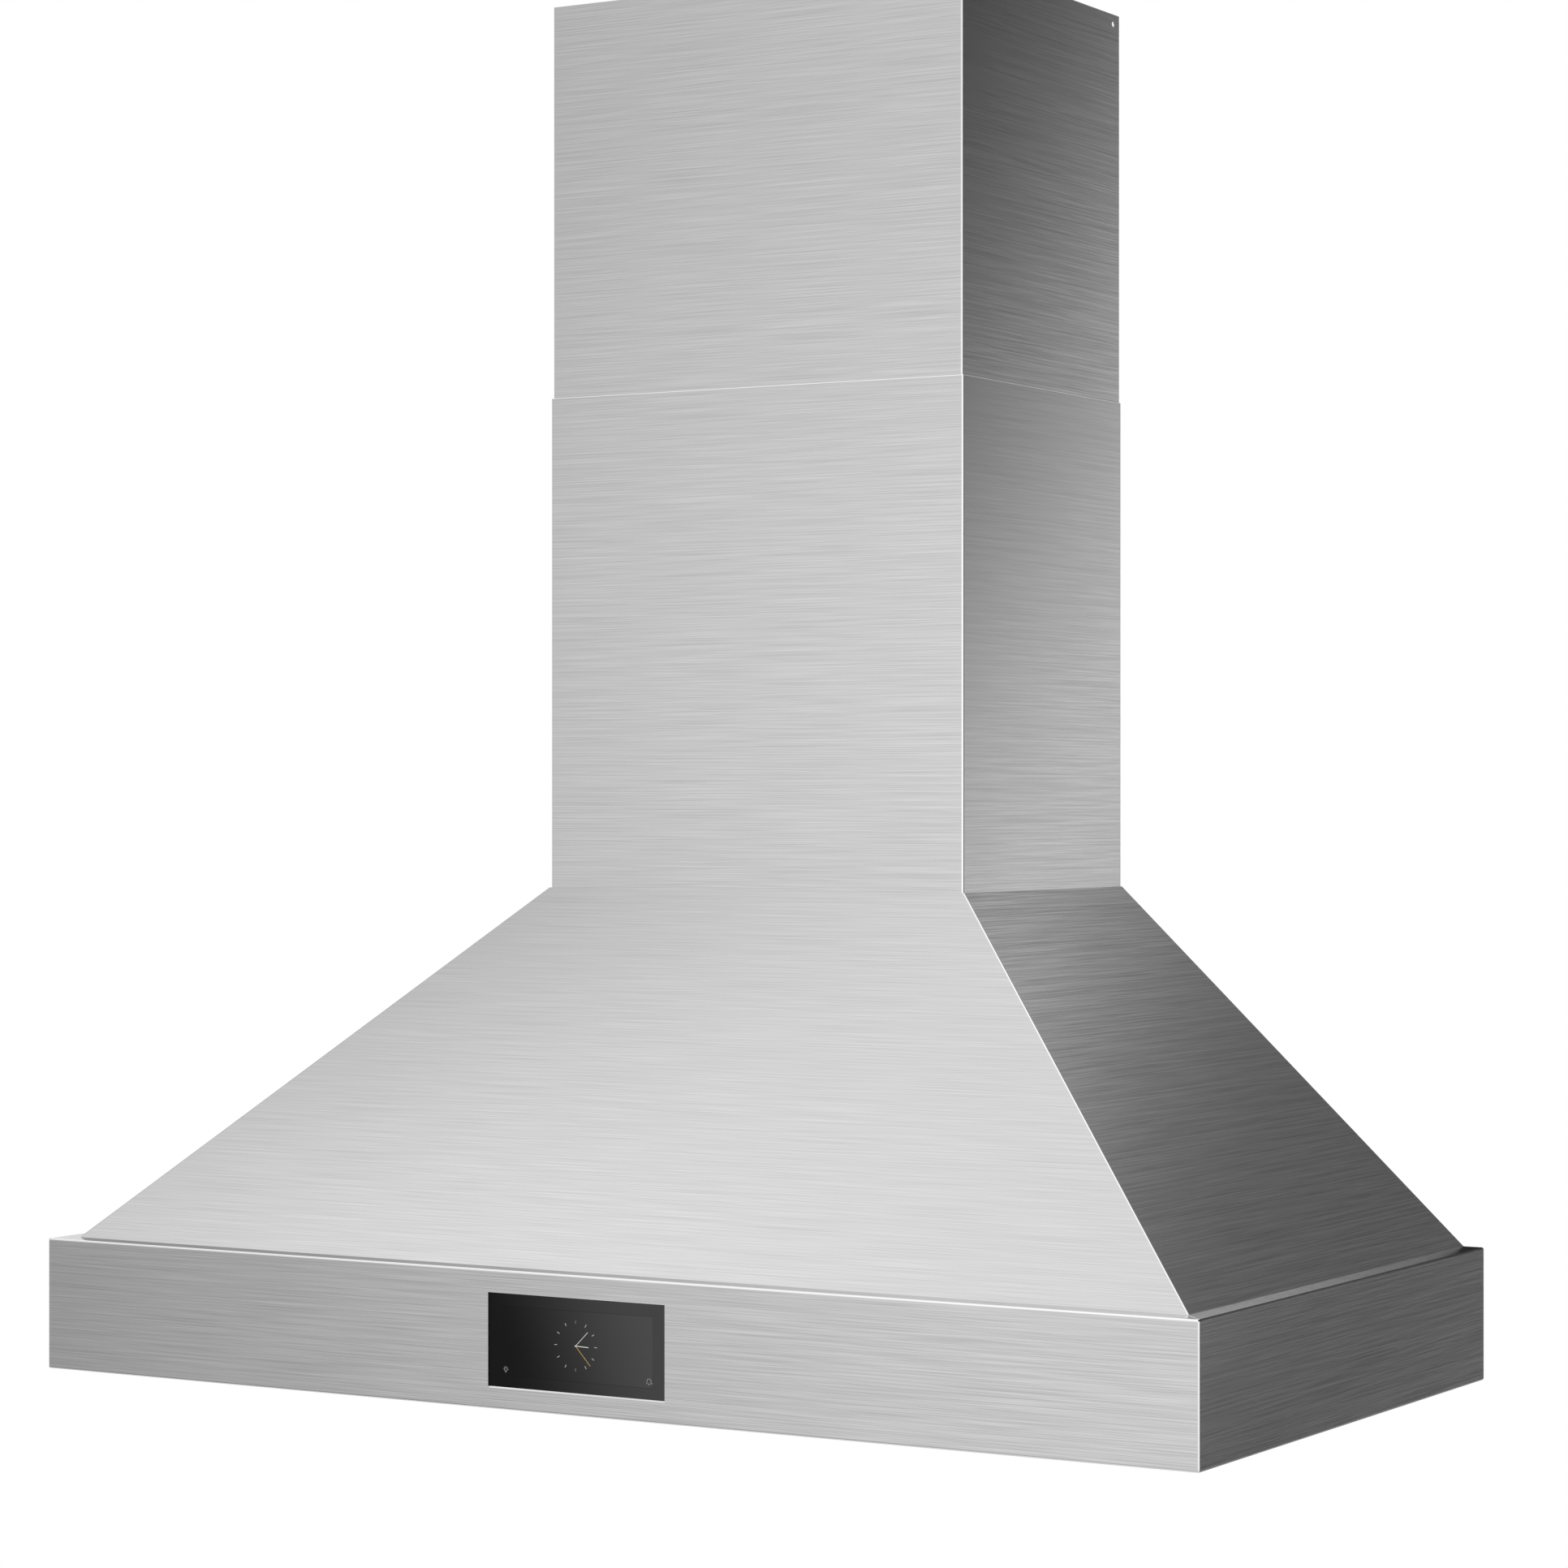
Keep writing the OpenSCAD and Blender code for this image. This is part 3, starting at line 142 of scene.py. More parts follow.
# In front: white walls with a dark flag on the left and one on the right, under a brighter
# ceiling that has a soft shade over the left side.
walls = room.ramp(around, full_turn, [
    (-180, .6), (-140, .9), (-85, 1.0), (-70, 1.0), (-55, .9), (-51, .12), (-44, .38), (-41, .44),
    (-38, .56), (-36, .66), (-33, .80), (-31, .87), (-28, .93), (-24, .98), (10, 1.05), (85, 1.05),
    (98, .30), (106, .08), (135, .06), (148, .06)])
wall_height = room.ramp(height, rise, [
    (-90, .9), (-60, .8), (-40, .7), (-20, .7), (-13, .88), (-5, .95), (0, 1.03), (4, 1.0),
    (11, .80), (15, 1.15), (90, 1.15)])
ceiling = room.ramp(height, rise, [(-90, 1.0), (48, 1.1), (52, 1.12), (60, 1.0), (75, 1.1), (90, 1.3)])
left_shade = room.ramp(around, full_turn, [
    (-180, 1.0), (-105, 1.0), (-90, .35), (-75, .35), (-71, .66), (-67, 1.05), (-60, 1.0), (180, 1.0)])
zenith = room.ramp(height, rise, [(-90, 0.0), (53, 0.0), (61, 1.0), (90, 1.0)])
high_up = room.ramp(height, rise, [(-90, 0.0), (20, 0.0), (40, 1.0), (90, 1.0)])
shaded_ceiling = room.math("MULTIPLY", ceiling, room.mix(zenith, left_shade, 1.0))
front = room.mix(high_up, room.math("MULTIPLY", walls, wall_height), shaded_ceiling)

# Behind on the right: a dark flag between a low bright strip and the bright ceiling. All three
# climb towards the back.
slant_middle, slant_rate = 152.5, -1.8
slant = room.math("MULTIPLY", room.math("SUBTRACT", turned, slant_middle), slant_rate)
side = room.ramp(room.math("ADD", height, slant), rise, [
    (-90, .30), (-30, .26), (-19, .15), (-13, .02), (-5.6, 0.0), (-4.8, 1.5), (-1, 1.22), (1, .7),
    (4, .42), (7, .14), (10, 0.0), (20, 0.0), (27, .05), (30, .8), (45, .9), (90, 1.3)])

# Straight behind and on the left: a dark wall under the bright ceiling, with a thin bright strip
# high on it that sinks towards the middle.
lean_rate = .3
lean = room.math("MULTIPLY", room.math("SUBTRACT", 180.0, turned), lean_rate)
rear = room.ramp(room.math("SUBTRACT", height, lean), rise, [
    (-90, .60), (-20, .3), (-8, .03), (0, .01), (17, .02), (19.5, .13), (23, .11), (25, .14),
    (26.3, .26), (27, .37), (28.6, 1.06), (29.4, .15), (35, .1), (43, 1.0), (90, 1.3)])
behind = room.ramp(turned, half_turn, [(0, 0.0), (140, 0.0), (146, 1.0), (180, 1.0)])
at_rear = room.ramp(around, full_turn, [
    (-180, 1.0), (-10, 1.0), (10, 0.0), (162, 0.0), (170, 1.0), (180, 1.0)])

# High up behind, a small card on either side that is brighter than white.
card_level = 1.6
card = room.math(
    "MULTIPLY",
    room.ramp(turned, half_turn, [(0, 0.0), (161, 0.0), (163, 1.0), (167, 1.0), (169, 0.0), (180, 0.0)]),
    room.ramp(height, rise, [(-90, 0.0), (18, 0.0), (20, 1.0), (25, 1.0), (28, 0.0), (90, 0.0)]))
seen = room.mix(behind, front, room.mix(card, room.mix(at_rear, side, rear), card_level))

# The camera sees plain white, shine and glass see the panels, and matt parts see an even room.
matt_level, white_level = .9, 1.0
paths = room.node("LightPath").outputs
by_shine = room.math("MAXIMUM", paths["Is Glossy Ray"], paths["Is Transmission Ray"])
level = room.mix(paths["Is Camera Ray"], room.mix(by_shine, matt_level, seen), white_level)
glow = room.node("Background")
room.put(glow.inputs["Color"], (1, 1, 1, 1))
room.put(glow.inputs["Strength"], level)
room.put(room.node("OutputWorld").inputs["Surface"], glow.outputs[0])

# Three soft lamps give the matt parts a light side: one in front on the left, one on the right
# and one below. Neither the camera nor a reflection shows them.
for lamp_name, spot, aim, power, size in (
    ("key_lamp", (-2.6, -3.6, 3.2), (0, 0, .5), 60, 2.4),
    ("rim_lamp", (3.2, -1.0, 2.6), (0, 0, .6), 25, 2.0),
    ("low_lamp", (0, -1.2, -1.9), (0, 0, 0), 18, 1.6),
):
    soft = bpy.data.lights.new(lamp_name, "AREA")
    soft.shape = "DISK"
    soft.size = size
    soft.energy = power
    lamp = bpy.data.objects.new(lamp_name, soft)
    bpy.context.scene.collection.objects.link(lamp)
    lamp.location = spot
    lamp.rotation_euler = (Vector(aim) - Vector(spot)).to_track_quat("-Z", "Y").to_euler()
    lamp.visible_glossy = False
    lamp.visible_camera = False

# The camera stands in front on the right, a little below the hood's middle, with a long lens.
eye = bpy.data.objects.new("eye", bpy.data.cameras.new("eye"))
bpy.context.scene.collection.objects.link(eye)
bpy.context.scene.camera = eye
eye.location = (2.0526, -3.3974, .5518)
eye.rotation_euler = (math.radians(90), 0, math.radians(30.785))
eye.data.sensor_width = 36
eye.data.lens = 95.55
eye.data.shift_y = .00726
bpy.context.scene.view_settings.view_transform = "Standard"

# ---- Canopy, rim and duct covers ----
# Stainless sheet with a level brushed grain. It is cut and brushed flat, then folded, and the
# outsides of the folds carry a painted highlight, lighter and less rough. The canopy is welded
# at its hips.


def grain_way(w, facing):
    """The level direction in a face, which the brushing follows. A level face is brushed along X."""
    upright, nudge = (0, 0, 1), (.002, 0, 0)
    return w.vector("NORMALIZE", w.vector("ADD", w.vector("CROSS_PRODUCT", facing, upright), nudge))


# The group gives the grain's tone and height, and masks for the kinds of fold, where painted
# highlights and a painted shade line go, for the faces that look to the right, whose streaks get a
# painted contrast, and for the insides of the sheets, which face the middle of the hood. Its
# inputs are steps of noise per metre: along the grain, across it, and across its wider bands.
grain = bpy.data.node_groups.new("brushed_grain", "ShaderNodeTree")
for socket, start in (("Length", 8.0), ("Fineness", 1200.0), ("Bands", 240.0)):
    grain.interface.new_socket(socket, in_out="INPUT", socket_type="NodeSocketFloat").default_value = start
for socket in ("Tone", "Height", "Corner", "Edge", "Side Edge", "Sideways", "Inside"):
    grain.interface.new_socket(socket, in_out="OUTPUT", socket_type="NodeSocketFloat")
w = Wiring(grain)
given = grain.nodes.new("NodeGroupInput").outputs
told = grain.nodes.new("NodeGroupOutput").inputs
where = w.node("TexCoord").outputs
facing = where["Normal"]
along = grain_way(w, facing)
run, climb, depth = (
    w.vector("DOT_PRODUCT", where["Object"], way)
    for way in (along, w.vector("CROSS_PRODUCT", facing, along), facing))
band_length, depth_step = 8.0, 7.0
depth = w.math("MULTIPLY", depth, depth_step)
fine, wide = (
    w.noise(
        w.join(w.math("MULTIPLY", run, length), w.math("MULTIPLY", climb, closeness), depth),
        scale=1.0, detail=2.0)
    for length, closeness in ((given["Length"], given["Fineness"]), (band_length, given["Bands"])))
fine_share, wide_share = .9, .1
w.put(told["Tone"], w.math("ADD", w.math("MULTIPLY", fine, fine_share), w.math("MULTIPLY", wide, wide_share)))
w.put(told["Height"], fine)
right, back, up = w.split(facing)
up = w.math("MAXIMUM", up, 0.0)
side_start, side_full = .4, .6
for fold, a, b in (("Corner", right, back), ("Edge", back, up), ("Side Edge", right, up)):
    w.put(told[fold], w.math("ABSOLUTE", w.math("MULTIPLY", a, b)))
w.put(told["Sideways"], w.span(right, side_start, side_full, 0.0, 1.0))
hood_middle, level_only, just_inside = (0, .12, 0), (1, 1, 0), -.01
outward = w.vector("MULTIPLY", w.vector("SUBTRACT", where["Object"], hood_middle), level_only)
w.put(told["Inside"], w.math("LESS_THAN", w.vector("DOT_PRODUCT", outward, facing), just_inside))


def fresh(name):
    """A new material, with the wiring of its nodes and its shader."""
    m = bpy.data.materials.new(name)
    m.use_nodes = True
    return m, Wiring(m.node_tree), m.node_tree.nodes["Principled BSDF"]


def finish(material, *names):
    """Gives the CAD nodes of these names a material."""
    for name in names:
        for s in nodes[name].material_slots:
            s.material = material


def grey(level):
    """A colour without a tint."""
    return (level, level, level, 1)


# The part of the grain's tone that is used, how much its gloss varies, and its depth. A painted
# highlight on a fold is lighter and less rough, a painted shade line is nearly black, and an
# inside is darker and rougher.
grain_low, grain_high, grain_gloss, grain_depth = .34, .66, .01, .0002
fold_highlight_tone, fold_highlight_rough = .93, .5
painted_shade_tone = .05
inside_tone, inside_rough = .9, .22


def brushed(name, tones, rough, folds=None, turn=.5, relief=.03, sides=None, above=None, shaded=None):
    """A brushed sheet metal: its dark and light tones, and its roughness.

    folds gives the kinds of fold that get a painted highlight, each with where it starts and is
    full; above is the height that highlighted edges lie over. sides are the tones of faces that
    look to the right, a painted contrast in their streaks, and shaded is where the painted shade
    line of a side edge starts and is full.
    """
    m, w, p = fresh(name)
    g = m.node_tree.nodes.new("ShaderNodeGroup")
    g.node_tree = grain
    g = g.outputs
    place = w.node("TexCoord").outputs
    tone = w.span(g["Tone"], grain_low, grain_high, 0.0, 1.0)
    colour = w.blend(tone, grey(tones[0]), grey(tones[1]))
    # Painted reflection contrast: faces that look to the right take their own tones, whose streak contrast
    # stands in for how the light shows the grain there.
    if sides:
        colour = w.blend(g["Sideways"], colour, w.blend(tone, grey(sides[0]), grey(sides[1])))
    matt = w.span(g["Tone"], grain_low, grain_high, rough + grain_gloss, rough - grain_gloss)
    # Painted highlight: where each kind of fold turns, the colour is lightened and the roughness lowered.
    for kind, (start, full) in (folds or {}).items():
        mask = w.span(g[kind], start, full, 0.0, 1.0, smooth=True)
        if above and kind == "Edge":
            mask = w.math("MULTIPLY", mask, w.math("GREATER_THAN", w.split(place["Object"])[2], above))
        colour = w.blend(mask, colour, grey(fold_highlight_tone))
        matt = w.math("MULTIPLY", matt, w.span(mask, 0.0, 1.0, 1.0, fold_highlight_rough))
    # Painted shade: a nearly black line along the top folds of faces that look to either side.
    if shaded:
        mask = w.span(g["Side Edge"], *shaded, 0.0, 1.0, smooth=True)
        colour = w.blend(mask, colour, grey(painted_shade_tone))
    colour = w.blend(g["Inside"], colour, grey(tones[0] * inside_tone))
    w.put(p.inputs["Base Color"], colour)
    w.put(p.inputs["Roughness"], w.math("ADD", matt, w.math("MULTIPLY", g["Inside"], inside_rough)))
    w.put(p.inputs["Metallic"], 1.0)
    w.put(p.inputs["Anisotropic"], turn)
    w.put(p.inputs["Tangent"], grain_way(w, place["Normal"]))
    w.bump(p, g["Height"], relief, grain_depth)
    return m


rim_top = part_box("rim_band")[1].z
top_fold = .004
# Where each kind of fold gets its painted highlight: where it starts and where it is full.
sheet_folds = {"Corner": (.12, .4), "Edge": (.02, .15)}
cover_folds = {**sheet_folds, "Side Edge": (.02, .15)}
# Each sheet gives its tones and, as sides, the painted streak tones of its faces that look to the right.
finish(
    brushed("canopy_steel", (.615, .715), .15, {"Corner": (.03, .2)}, sides=(.50, .84)),
    "canopy_front", "canopy_side_left", "canopy_side_right")
# The rim has a painted highlight on its corners and its top bend, and a painted shade line along the top
# folds of its sides.
finish(
    brushed(
        "rim_steel", (.57, .77), .15, {"Corner": (.25, .45), "Edge": (.02, .15)}, relief=.02,
        sides=(.48, .86), above=rim_top - top_fold, shaded=(.04, .2)),
    "rim_band")
finish(brushed("lower_steel", (.61, .76), .15, cover_folds, relief=.005, sides=(.64, .72)), "lower_cover")
finish(brushed("upper_steel", (.61, .76), .15, cover_folds, relief=.005, sides=(.54, .83)), "upper_cover")

# The two welds on the rim's top, from the foot of each hip to the rim's corner, ground to a fine
# bead whose light tone is a painted highlight along the seam. They are laid as flattened rods
# with rounded ends, sunk a little into the rim.
rim_box, foot_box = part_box("rim_band"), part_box("canopy_front")
bead_wide, bead_high, bead_sunk = .0017, .0008, .0001
bead_rounding = bead_high * .45
from_corner, from_hip = .0012, .0006
# Painted highlight: the bead is much lighter than the sheet beside it.
weld_highlight_steel = brushed("weld_highlight_steel", (.86, .92), .22, turn=0.0)
for side_name, s in (("left", -1), ("right", 1)):
    bead_z = rim_top - bead_sunk
    corner = Vector((s * (rim_box[1].x - from_corner), rim_box[0].y + from_corner, bead_z))
    hip_foot = Vector((s * (foot_box[1].x - from_hip), foot_box[0].y + from_hip, bead_z))
    way = corner - hip_foot
    bpy.ops.object.select_all(action="DESELECT")
    bpy.ops.mesh.primitive_cube_add(size=1)
    bead = bpy.context.active_object
    bead.name = "mitre_weld_" + side_name
    bpy.ops.object.mode_set(mode="EDIT")
    bpy.ops.transform.resize(value=(way.length, bead_wide, bead_high))
    bpy.ops.mesh.bevel(offset=bead_rounding, segments=3, affect="EDGES")
    bpy.ops.object.mode_set(mode="OBJECT")
    bead.data.transform(Matrix.Rotation(math.atan2(way.y, way.x), 4, "Z"))
    bead.data.transform(Matrix.Translation((hip_foot + corner) / 2))
    bpy.ops.object.shade_smooth()
    bead.data.materials.append(weld_highlight_steel)
    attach(bead, "hood")

# ---- Underside and filters ----
# The panel under the hood, the bay with its rails, the tray and the baffle filters are plainer
# brushed sheet. The handles are polished wire and the clips and springs are hardened strip.

# Their folds carry the same painted highlight.
inner_steel = brushed("inner_steel", (.52, .64), .28, sheet_folds, turn=.4)
filter_steel = brushed("filter_steel", (.56, .70), .24, sheet_folds, turn=.4)
bright_steel = brushed("bright_steel", (.72, .80), .14, turn=0.0)
spring_steel = brushed("spring_steel", (.44, .52), .2, turn=0.0)
finish(inner_steel, "underside_pan", "filter_bay", "filter_rails", "grease_tray")
finish(spring_steel, "tray_clips", "filter_springs")
for i in (1, 2, 3, 4):
    finish(filter_steel, f"filter_frame_{i}", f"filter_baffles_{i}")
    finish(bright_steel, f"filter_handle_{i}")

# ---- Back, blower housing, duct collar and boxes ----
# Zinc-coated sheet with its frost-like crystals, each a slightly different grey, and a dull bloom.
# The wheel, its inlets, the screws and the studs are plated more thinly, with smaller crystals.


def zinc_sheet(name, light, dark, crystals, rough):
    """Galvanised sheet: crystal facets in colour, roughness and relief under a fine bloom."""
    facet_share, bloom_share, bloom_scale, grit_scale = .65, .35, 25.0, 400.0
    smoother, rougher, metal = .06, .1, .85
    blue_dark, blue_light = dark * 1.02, light * 1.03
    relief, crystal_depth = .12, .0002
    m, w, p = fresh(name)
    at = w.node("TexCoord").outputs["Object"]
    picks = w.node("SeparateColor")
    w.put(picks.inputs[0], w.cells(at, crystals)["Color"])
    facet, gloss, height = picks.outputs
    bloom = w.noise(at, bloom_scale, detail=4.0)
    tone = w.math("ADD", w.math("MULTIPLY", facet, facet_share), w.math("MULTIPLY", bloom, bloom_share))
    w.put(p.inputs["Base Color"], w.blend(tone, (dark, dark, blue_dark, 1), (light, light, blue_light, 1)))
    w.put(p.inputs["Roughness"], w.span(gloss, 0.0, 1.0, rough - smoother, rough + rougher))
    w.put(p.inputs["Metallic"], metal)
    w.bump(p, w.math("ADD", height, w.noise(at, grit_scale, detail=2.0)), relief, crystal_depth)
    return m


finish(
    zinc_sheet("galvanised", .66, .48, 110.0, .36),
    "back_panel", "crown_plate", "cover_cleats", "scroll_wrapper", "scroll_sides", "duct_collar",
    "damper_flap_front", "damper_flap_back", "power_box", "power_box_lid", "junction_box",
    "junction_box_lid", "motor_bracket")
finish(zinc_sheet("wheel_steel", .70, .56, 260.0, .30), "blower_inlets", "blower_wheel")
finish(zinc_sheet("zinc", .76, .62, 900.0, .24), "collar_screws", "lid_screws", "pan_screws", "display_studs")
finish(bright_steel, "motor_shaft", "damper_rod", "motor_capacitor")

# ---- Display ----
# Dark tempered glass behind the cut-out in the rim, in a plastic housing with a rubber seal. Its
# control board is behind it. The power board and the supply's rubber grommet are finished here too.


def plain(name, colour, rough, metal=0.0, speck=0.0, relief=.1, coat=0.0):
    """A moulded, painted or lacquered finish with a fine speckle in its colour and roughness."""
    grit_scale, grit_depth, cloud_scale, gloss_change = 900.0, .0001, 14.0, .04
    m, w, p = fresh(name)
    at = w.node("TexCoord").outputs["Object"]
    grit = w.noise(at, grit_scale)
    cloud = w.noise(at, cloud_scale)
    low = tuple(c * (1 - speck) for c in colour)
    high = tuple(min(1, c * (1 + speck)) for c in colour)
    mottle = w.math("MULTIPLY", w.math("ADD", grit, cloud), .5)
    w.put(p.inputs["Base Color"], w.blend(mottle, (*low, 1), (*high, 1)))
    w.put(p.inputs["Roughness"], w.spread(cloud, rough - gloss_change, rough + gloss_change))
    w.put(p.inputs["Metallic"], metal)
    w.put(p.inputs["Coat Weight"], coat)
    w.bump(p, grit, relief, grit_depth)
    return m


def dark_glass(name, colour, rough, start, end, painted_sheen):
    """Black glass with a painted reflection: a glow that grows from start to end along X, and a little with
    height.
    """
    height_share, weak_shine = .35, .12
    m = plain(name, colour, rough, speck=.1)
    w = Wiring(m.node_tree)
    p = m.node_tree.nodes["Principled BSDF"]
    # Painted reflection: the glass glows, though it gives no light of its own.
    across = w.vector("DOT_PRODUCT", w.node("TexCoord").outputs["Object"], (1, 0, height_share))
    shade = w.span(across, start, end, 0.0, painted_sheen, smooth=True)
    w.put(p.inputs["Emission Color"], w.join(shade, shade, shade))
    w.put(p.inputs["Emission Strength"], 1.0)
    w.put(p.inputs["Specular IOR Level"], weak_shine)
    return m


glass_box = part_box("display_glass")
glass_black, glass_rough = (.003, .003, .0034), .06
glass_start, glass_end = glass_box[0].x * .7, glass_box[1].x * 1.05
# The display glass gets its painted reflection.
finish(
    dark_glass("black_glass", glass_black, glass_rough, glass_start, glass_end, painted_sheen=.046),
    "display_glass")
finish(plain("black_plastic", (.03, .03, .032), .5, speck=.15), "display_housing", "display_panel")
finish(plain("rubber", (.025, .025, .026), .7, speck=.2), "display_seal", "supply_grommet")


def circuit(name, face, side, parts):
    """A green circuit board: traces and solder dots, and coloured components in front of its face.

    face is the Y of the board's component side and side is the direction the parts stand in;
    each of the parts is its X span and its colour.
    """
    lane_scale, tracks_each, track_start, track_full = 160.0, 5.0, .42, .5
    pad_scale, pad_r, part_low = 330.0, .2, .0002
    gap_green, track_green = (.015, .10, .045, 1), (.03, .19, .08, 1)
    solder, part_black = (.62, .62, .60, 1), (.02, .02, .022, 1)
    cloud_scale, glossiest, dullest, relief, track_depth = 60.0, .28, .45, .3, .0001
    m, w, p = fresh(name)
    at = w.node("TexCoord").outputs["Object"]
    x, y, _ = w.split(at)
    lanes = w.cells(at, lane_scale, distance="MANHATTAN")["Distance"]
    lane_place = w.math("FRACT", w.math("MULTIPLY", lanes, tracks_each))
    track = w.span(lane_place, track_start, track_full, 0.0, 1.0)
    pad = w.math("LESS_THAN", w.cells(at, pad_scale)["Distance"], pad_r)
    board_colour = w.blend(pad, w.blend(track, gap_green, track_green), solder)
    out = w.math("MULTIPLY", w.math("SUBTRACT", y, face), float(side))
    part_colour = part_black
    for low, high, tint in parts:
        within = w.math("MULTIPLY", w.math("GREATER_THAN", x, low), w.math("LESS_THAN", x, high))
        part_colour = w.blend(within, part_colour, (*tint, 1))
    stands = w.math("GREATER_THAN", out, part_low)
    w.put(p.inputs["Base Color"], w.blend(stands, board_colour, part_colour))
    w.put(p.inputs["Roughness"], w.spread(w.noise(at, cloud_scale), glossiest, dullest))
    w.bump(p, w.math("ADD", track, pad), relief, track_depth)
    return m


# The plug's span is its X. On the power board the coil's and the relay's are counted from the left
# end, and the terminal block's from the right end.
board_thick, post_high = .0016, .008
white_plug, gold_coil = (.8, .8, .76), (.55, .42, .12)
blue_relay, green_block = (.03, .10, .35), (.05, .35, .12)
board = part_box("control_board")
plug = (.0195, .0585)
finish(circuit("board_green", board[0].y + board_thick, 1, [(*plug, white_plug)]), "control_board")
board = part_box("power_board")
left_end, right_end = board[0].x, board[1].x
coil, relay, block = (.010, .046), (.056, .078), (.020, .004)
finish(
    circuit("power_board_green", board[1].y - post_high - board_thick, -1, [
        (left_end + coil[0], left_end + coil[1], gold_coil),
        (left_end + relay[0], left_end + relay[1], blue_relay),
        (right_end - block[0], right_end - block[1], green_block)]),
    "power_board")

# What the display shows: a thin film with a fine border, twelve marks, three hands and an icon in
# each lower corner. They all lie a hair in front of the glass.
glass_front = glass_box[0].y
mid_z = (glass_box[0].z + glass_box[1].z) / 2


def lit(name, colour):
    """A lit marking: its colour glows evenly, with a faint mottle from the film."""
    mottle_scale, dimmer, ink, ink_rough = 2500.0, .85, .01, .3
    m, w, p = fresh(name)
    mottle = w.noise(w.node("TexCoord").outputs["Object"], mottle_scale, detail=2.0)
    dim = tuple(c * dimmer for c in colour)
    w.put(p.inputs["Emission Color"], w.blend(mottle, (*dim, 1), (*colour, 1)))
    w.put(p.inputs["Emission Strength"], 1.0)
    w.put(p.inputs["Base Color"], grey(ink))
    w.put(p.inputs["Roughness"], ink_rough)
    return m


def into_mesh(o):
    """Puts the object's place into its mesh and leaves it at the origin."""
    bpy.ops.object.select_all(action="DESELECT")
    o.select_set(True)
    bpy.context.view_layer.objects.active = o
    bpy.ops.object.transform_apply(location=True, rotation=True, scale=True)


def bar(name, x, z, length, width, turn, lift):
    """A flat lit bar on the glass with its near end at x, z; turn is clockwise from 12 o'clock."""
    thick, rounding = .00005, .2
    bpy.ops.object.select_all(action="DESELECT")
    bpy.ops.mesh.primitive_plane_add(size=1)
    o = bpy.context.active_object
    o.name = name
    bpy.ops.object.mode_set(mode="EDIT")
    bpy.ops.transform.resize(value=(width, length, 1))
    bpy.ops.transform.translate(value=(0, length / 2, 0))
    bpy.ops.mesh.extrude_region_move(TRANSFORM_OT_translate={"value": (0, 0, thick)})
    bpy.ops.mesh.select_all(action="SELECT")
    bpy.ops.mesh.normals_make_consistent(inside=False)
    bpy.ops.mesh.bevel(offset=width * rounding, segments=2, affect="EDGES")
    bpy.ops.object.mode_set(mode="OBJECT")
    o.data.transform(Matrix.Rotation(math.radians(90), 4, "X"))
    o.data.transform(Matrix.Rotation(math.radians(turn), 4, "Y"))
    o.data.transform(Matrix.Translation((x, glass_front - lift, mid_z + z)))
    return o


def joined(name, parts, material):
    """Makes one piece of the display out of its parts."""
    bpy.ops.object.select_all(action="DESELECT")
    for o in parts:
        o.select_set(True)
    bpy.context.view_layer.objects.active = parts[0]
    if len(parts) > 1:
        bpy.ops.object.join()
    o = parts[0]
    o.name = name
    o.data.materials.clear()
    o.data.materials.append(material)
    into_mesh(o)
    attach(o, "hood")


screen_w, screen_h, screen_drop = .1628, .0636, .0007
border_w, film_lift = .0005, .00004
sheen_start, sheen_end = -.06, .12
border_black, border_rough, middle_reach = (.003, .003, .003), .1, .01
bpy.ops.object.select_all(action="DESELECT")
bpy.ops.mesh.primitive_plane_add(size=1)
film = bpy.context.active_object
film.name = "screen_film"
bpy.ops.object.mode_set(mode="EDIT")
bpy.ops.transform.resize(value=(screen_w, screen_h, 1))
bpy.ops.mesh.inset(thickness=border_w)
bpy.ops.object.mode_set(mode="OBJECT")
film.data.transform(Matrix.Rotation(math.radians(90), 4, "X"))
film.data.transform(Matrix.Translation((0, glass_front - film_lift, mid_z - screen_drop)))
# Painted reflection on the screen: the film glows a little more than its border, as a lit screen does, and
# both glows grow along X like the glass's painted reflection.
for m in (
    dark_glass("screen_black", glass_black, glass_rough, sheen_start, sheen_end, painted_sheen=.058),
    dark_glass("screen_border", border_black, border_rough, sheen_start, sheen_end, painted_sheen=.034),
):
    film.data.materials.append(m)
for f in film.data.polygons:
    off_x, off_z = f.center.x, f.center.z - mid_z + screen_drop
    f.material_index = 0 if max(abs(off_x), abs(off_z)) < middle_reach else 1
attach(film, "hood")


def on_circle(x, z, r, turn):
    """The place on a circle round x, z at this angle, clockwise from the top."""
    a = math.radians(turn)
    return x + r * math.sin(a), z + r * math.cos(a)


clock_x, clock_z, hour_turn = -.0006, -.0003, 30
mark_middle, mark_l, mark_w, mark_lift = .0213, .0028, .0006, .0001
mark_near = mark_middle - mark_l / 2
for marks_name, hours, light in (
    ("clock_marks", (1, 2, 3, 4, 5, 7, 8, 9, 10, 11), lit("mark_light", (.40, .40, .38))),
    ("clock_marks_dim", (0, 6), lit("dim_light", (.16, .16, .16))),
):
    marks = []
    for hour in hours:
        turn = hour * hour_turn
        mark_x, mark_z = on_circle(clock_x, clock_z, mark_near, turn)
        marks.append(bar("mark", mark_x, mark_z, mark_l, mark_w, turn, mark_lift))
    joined(marks_name, marks, light)

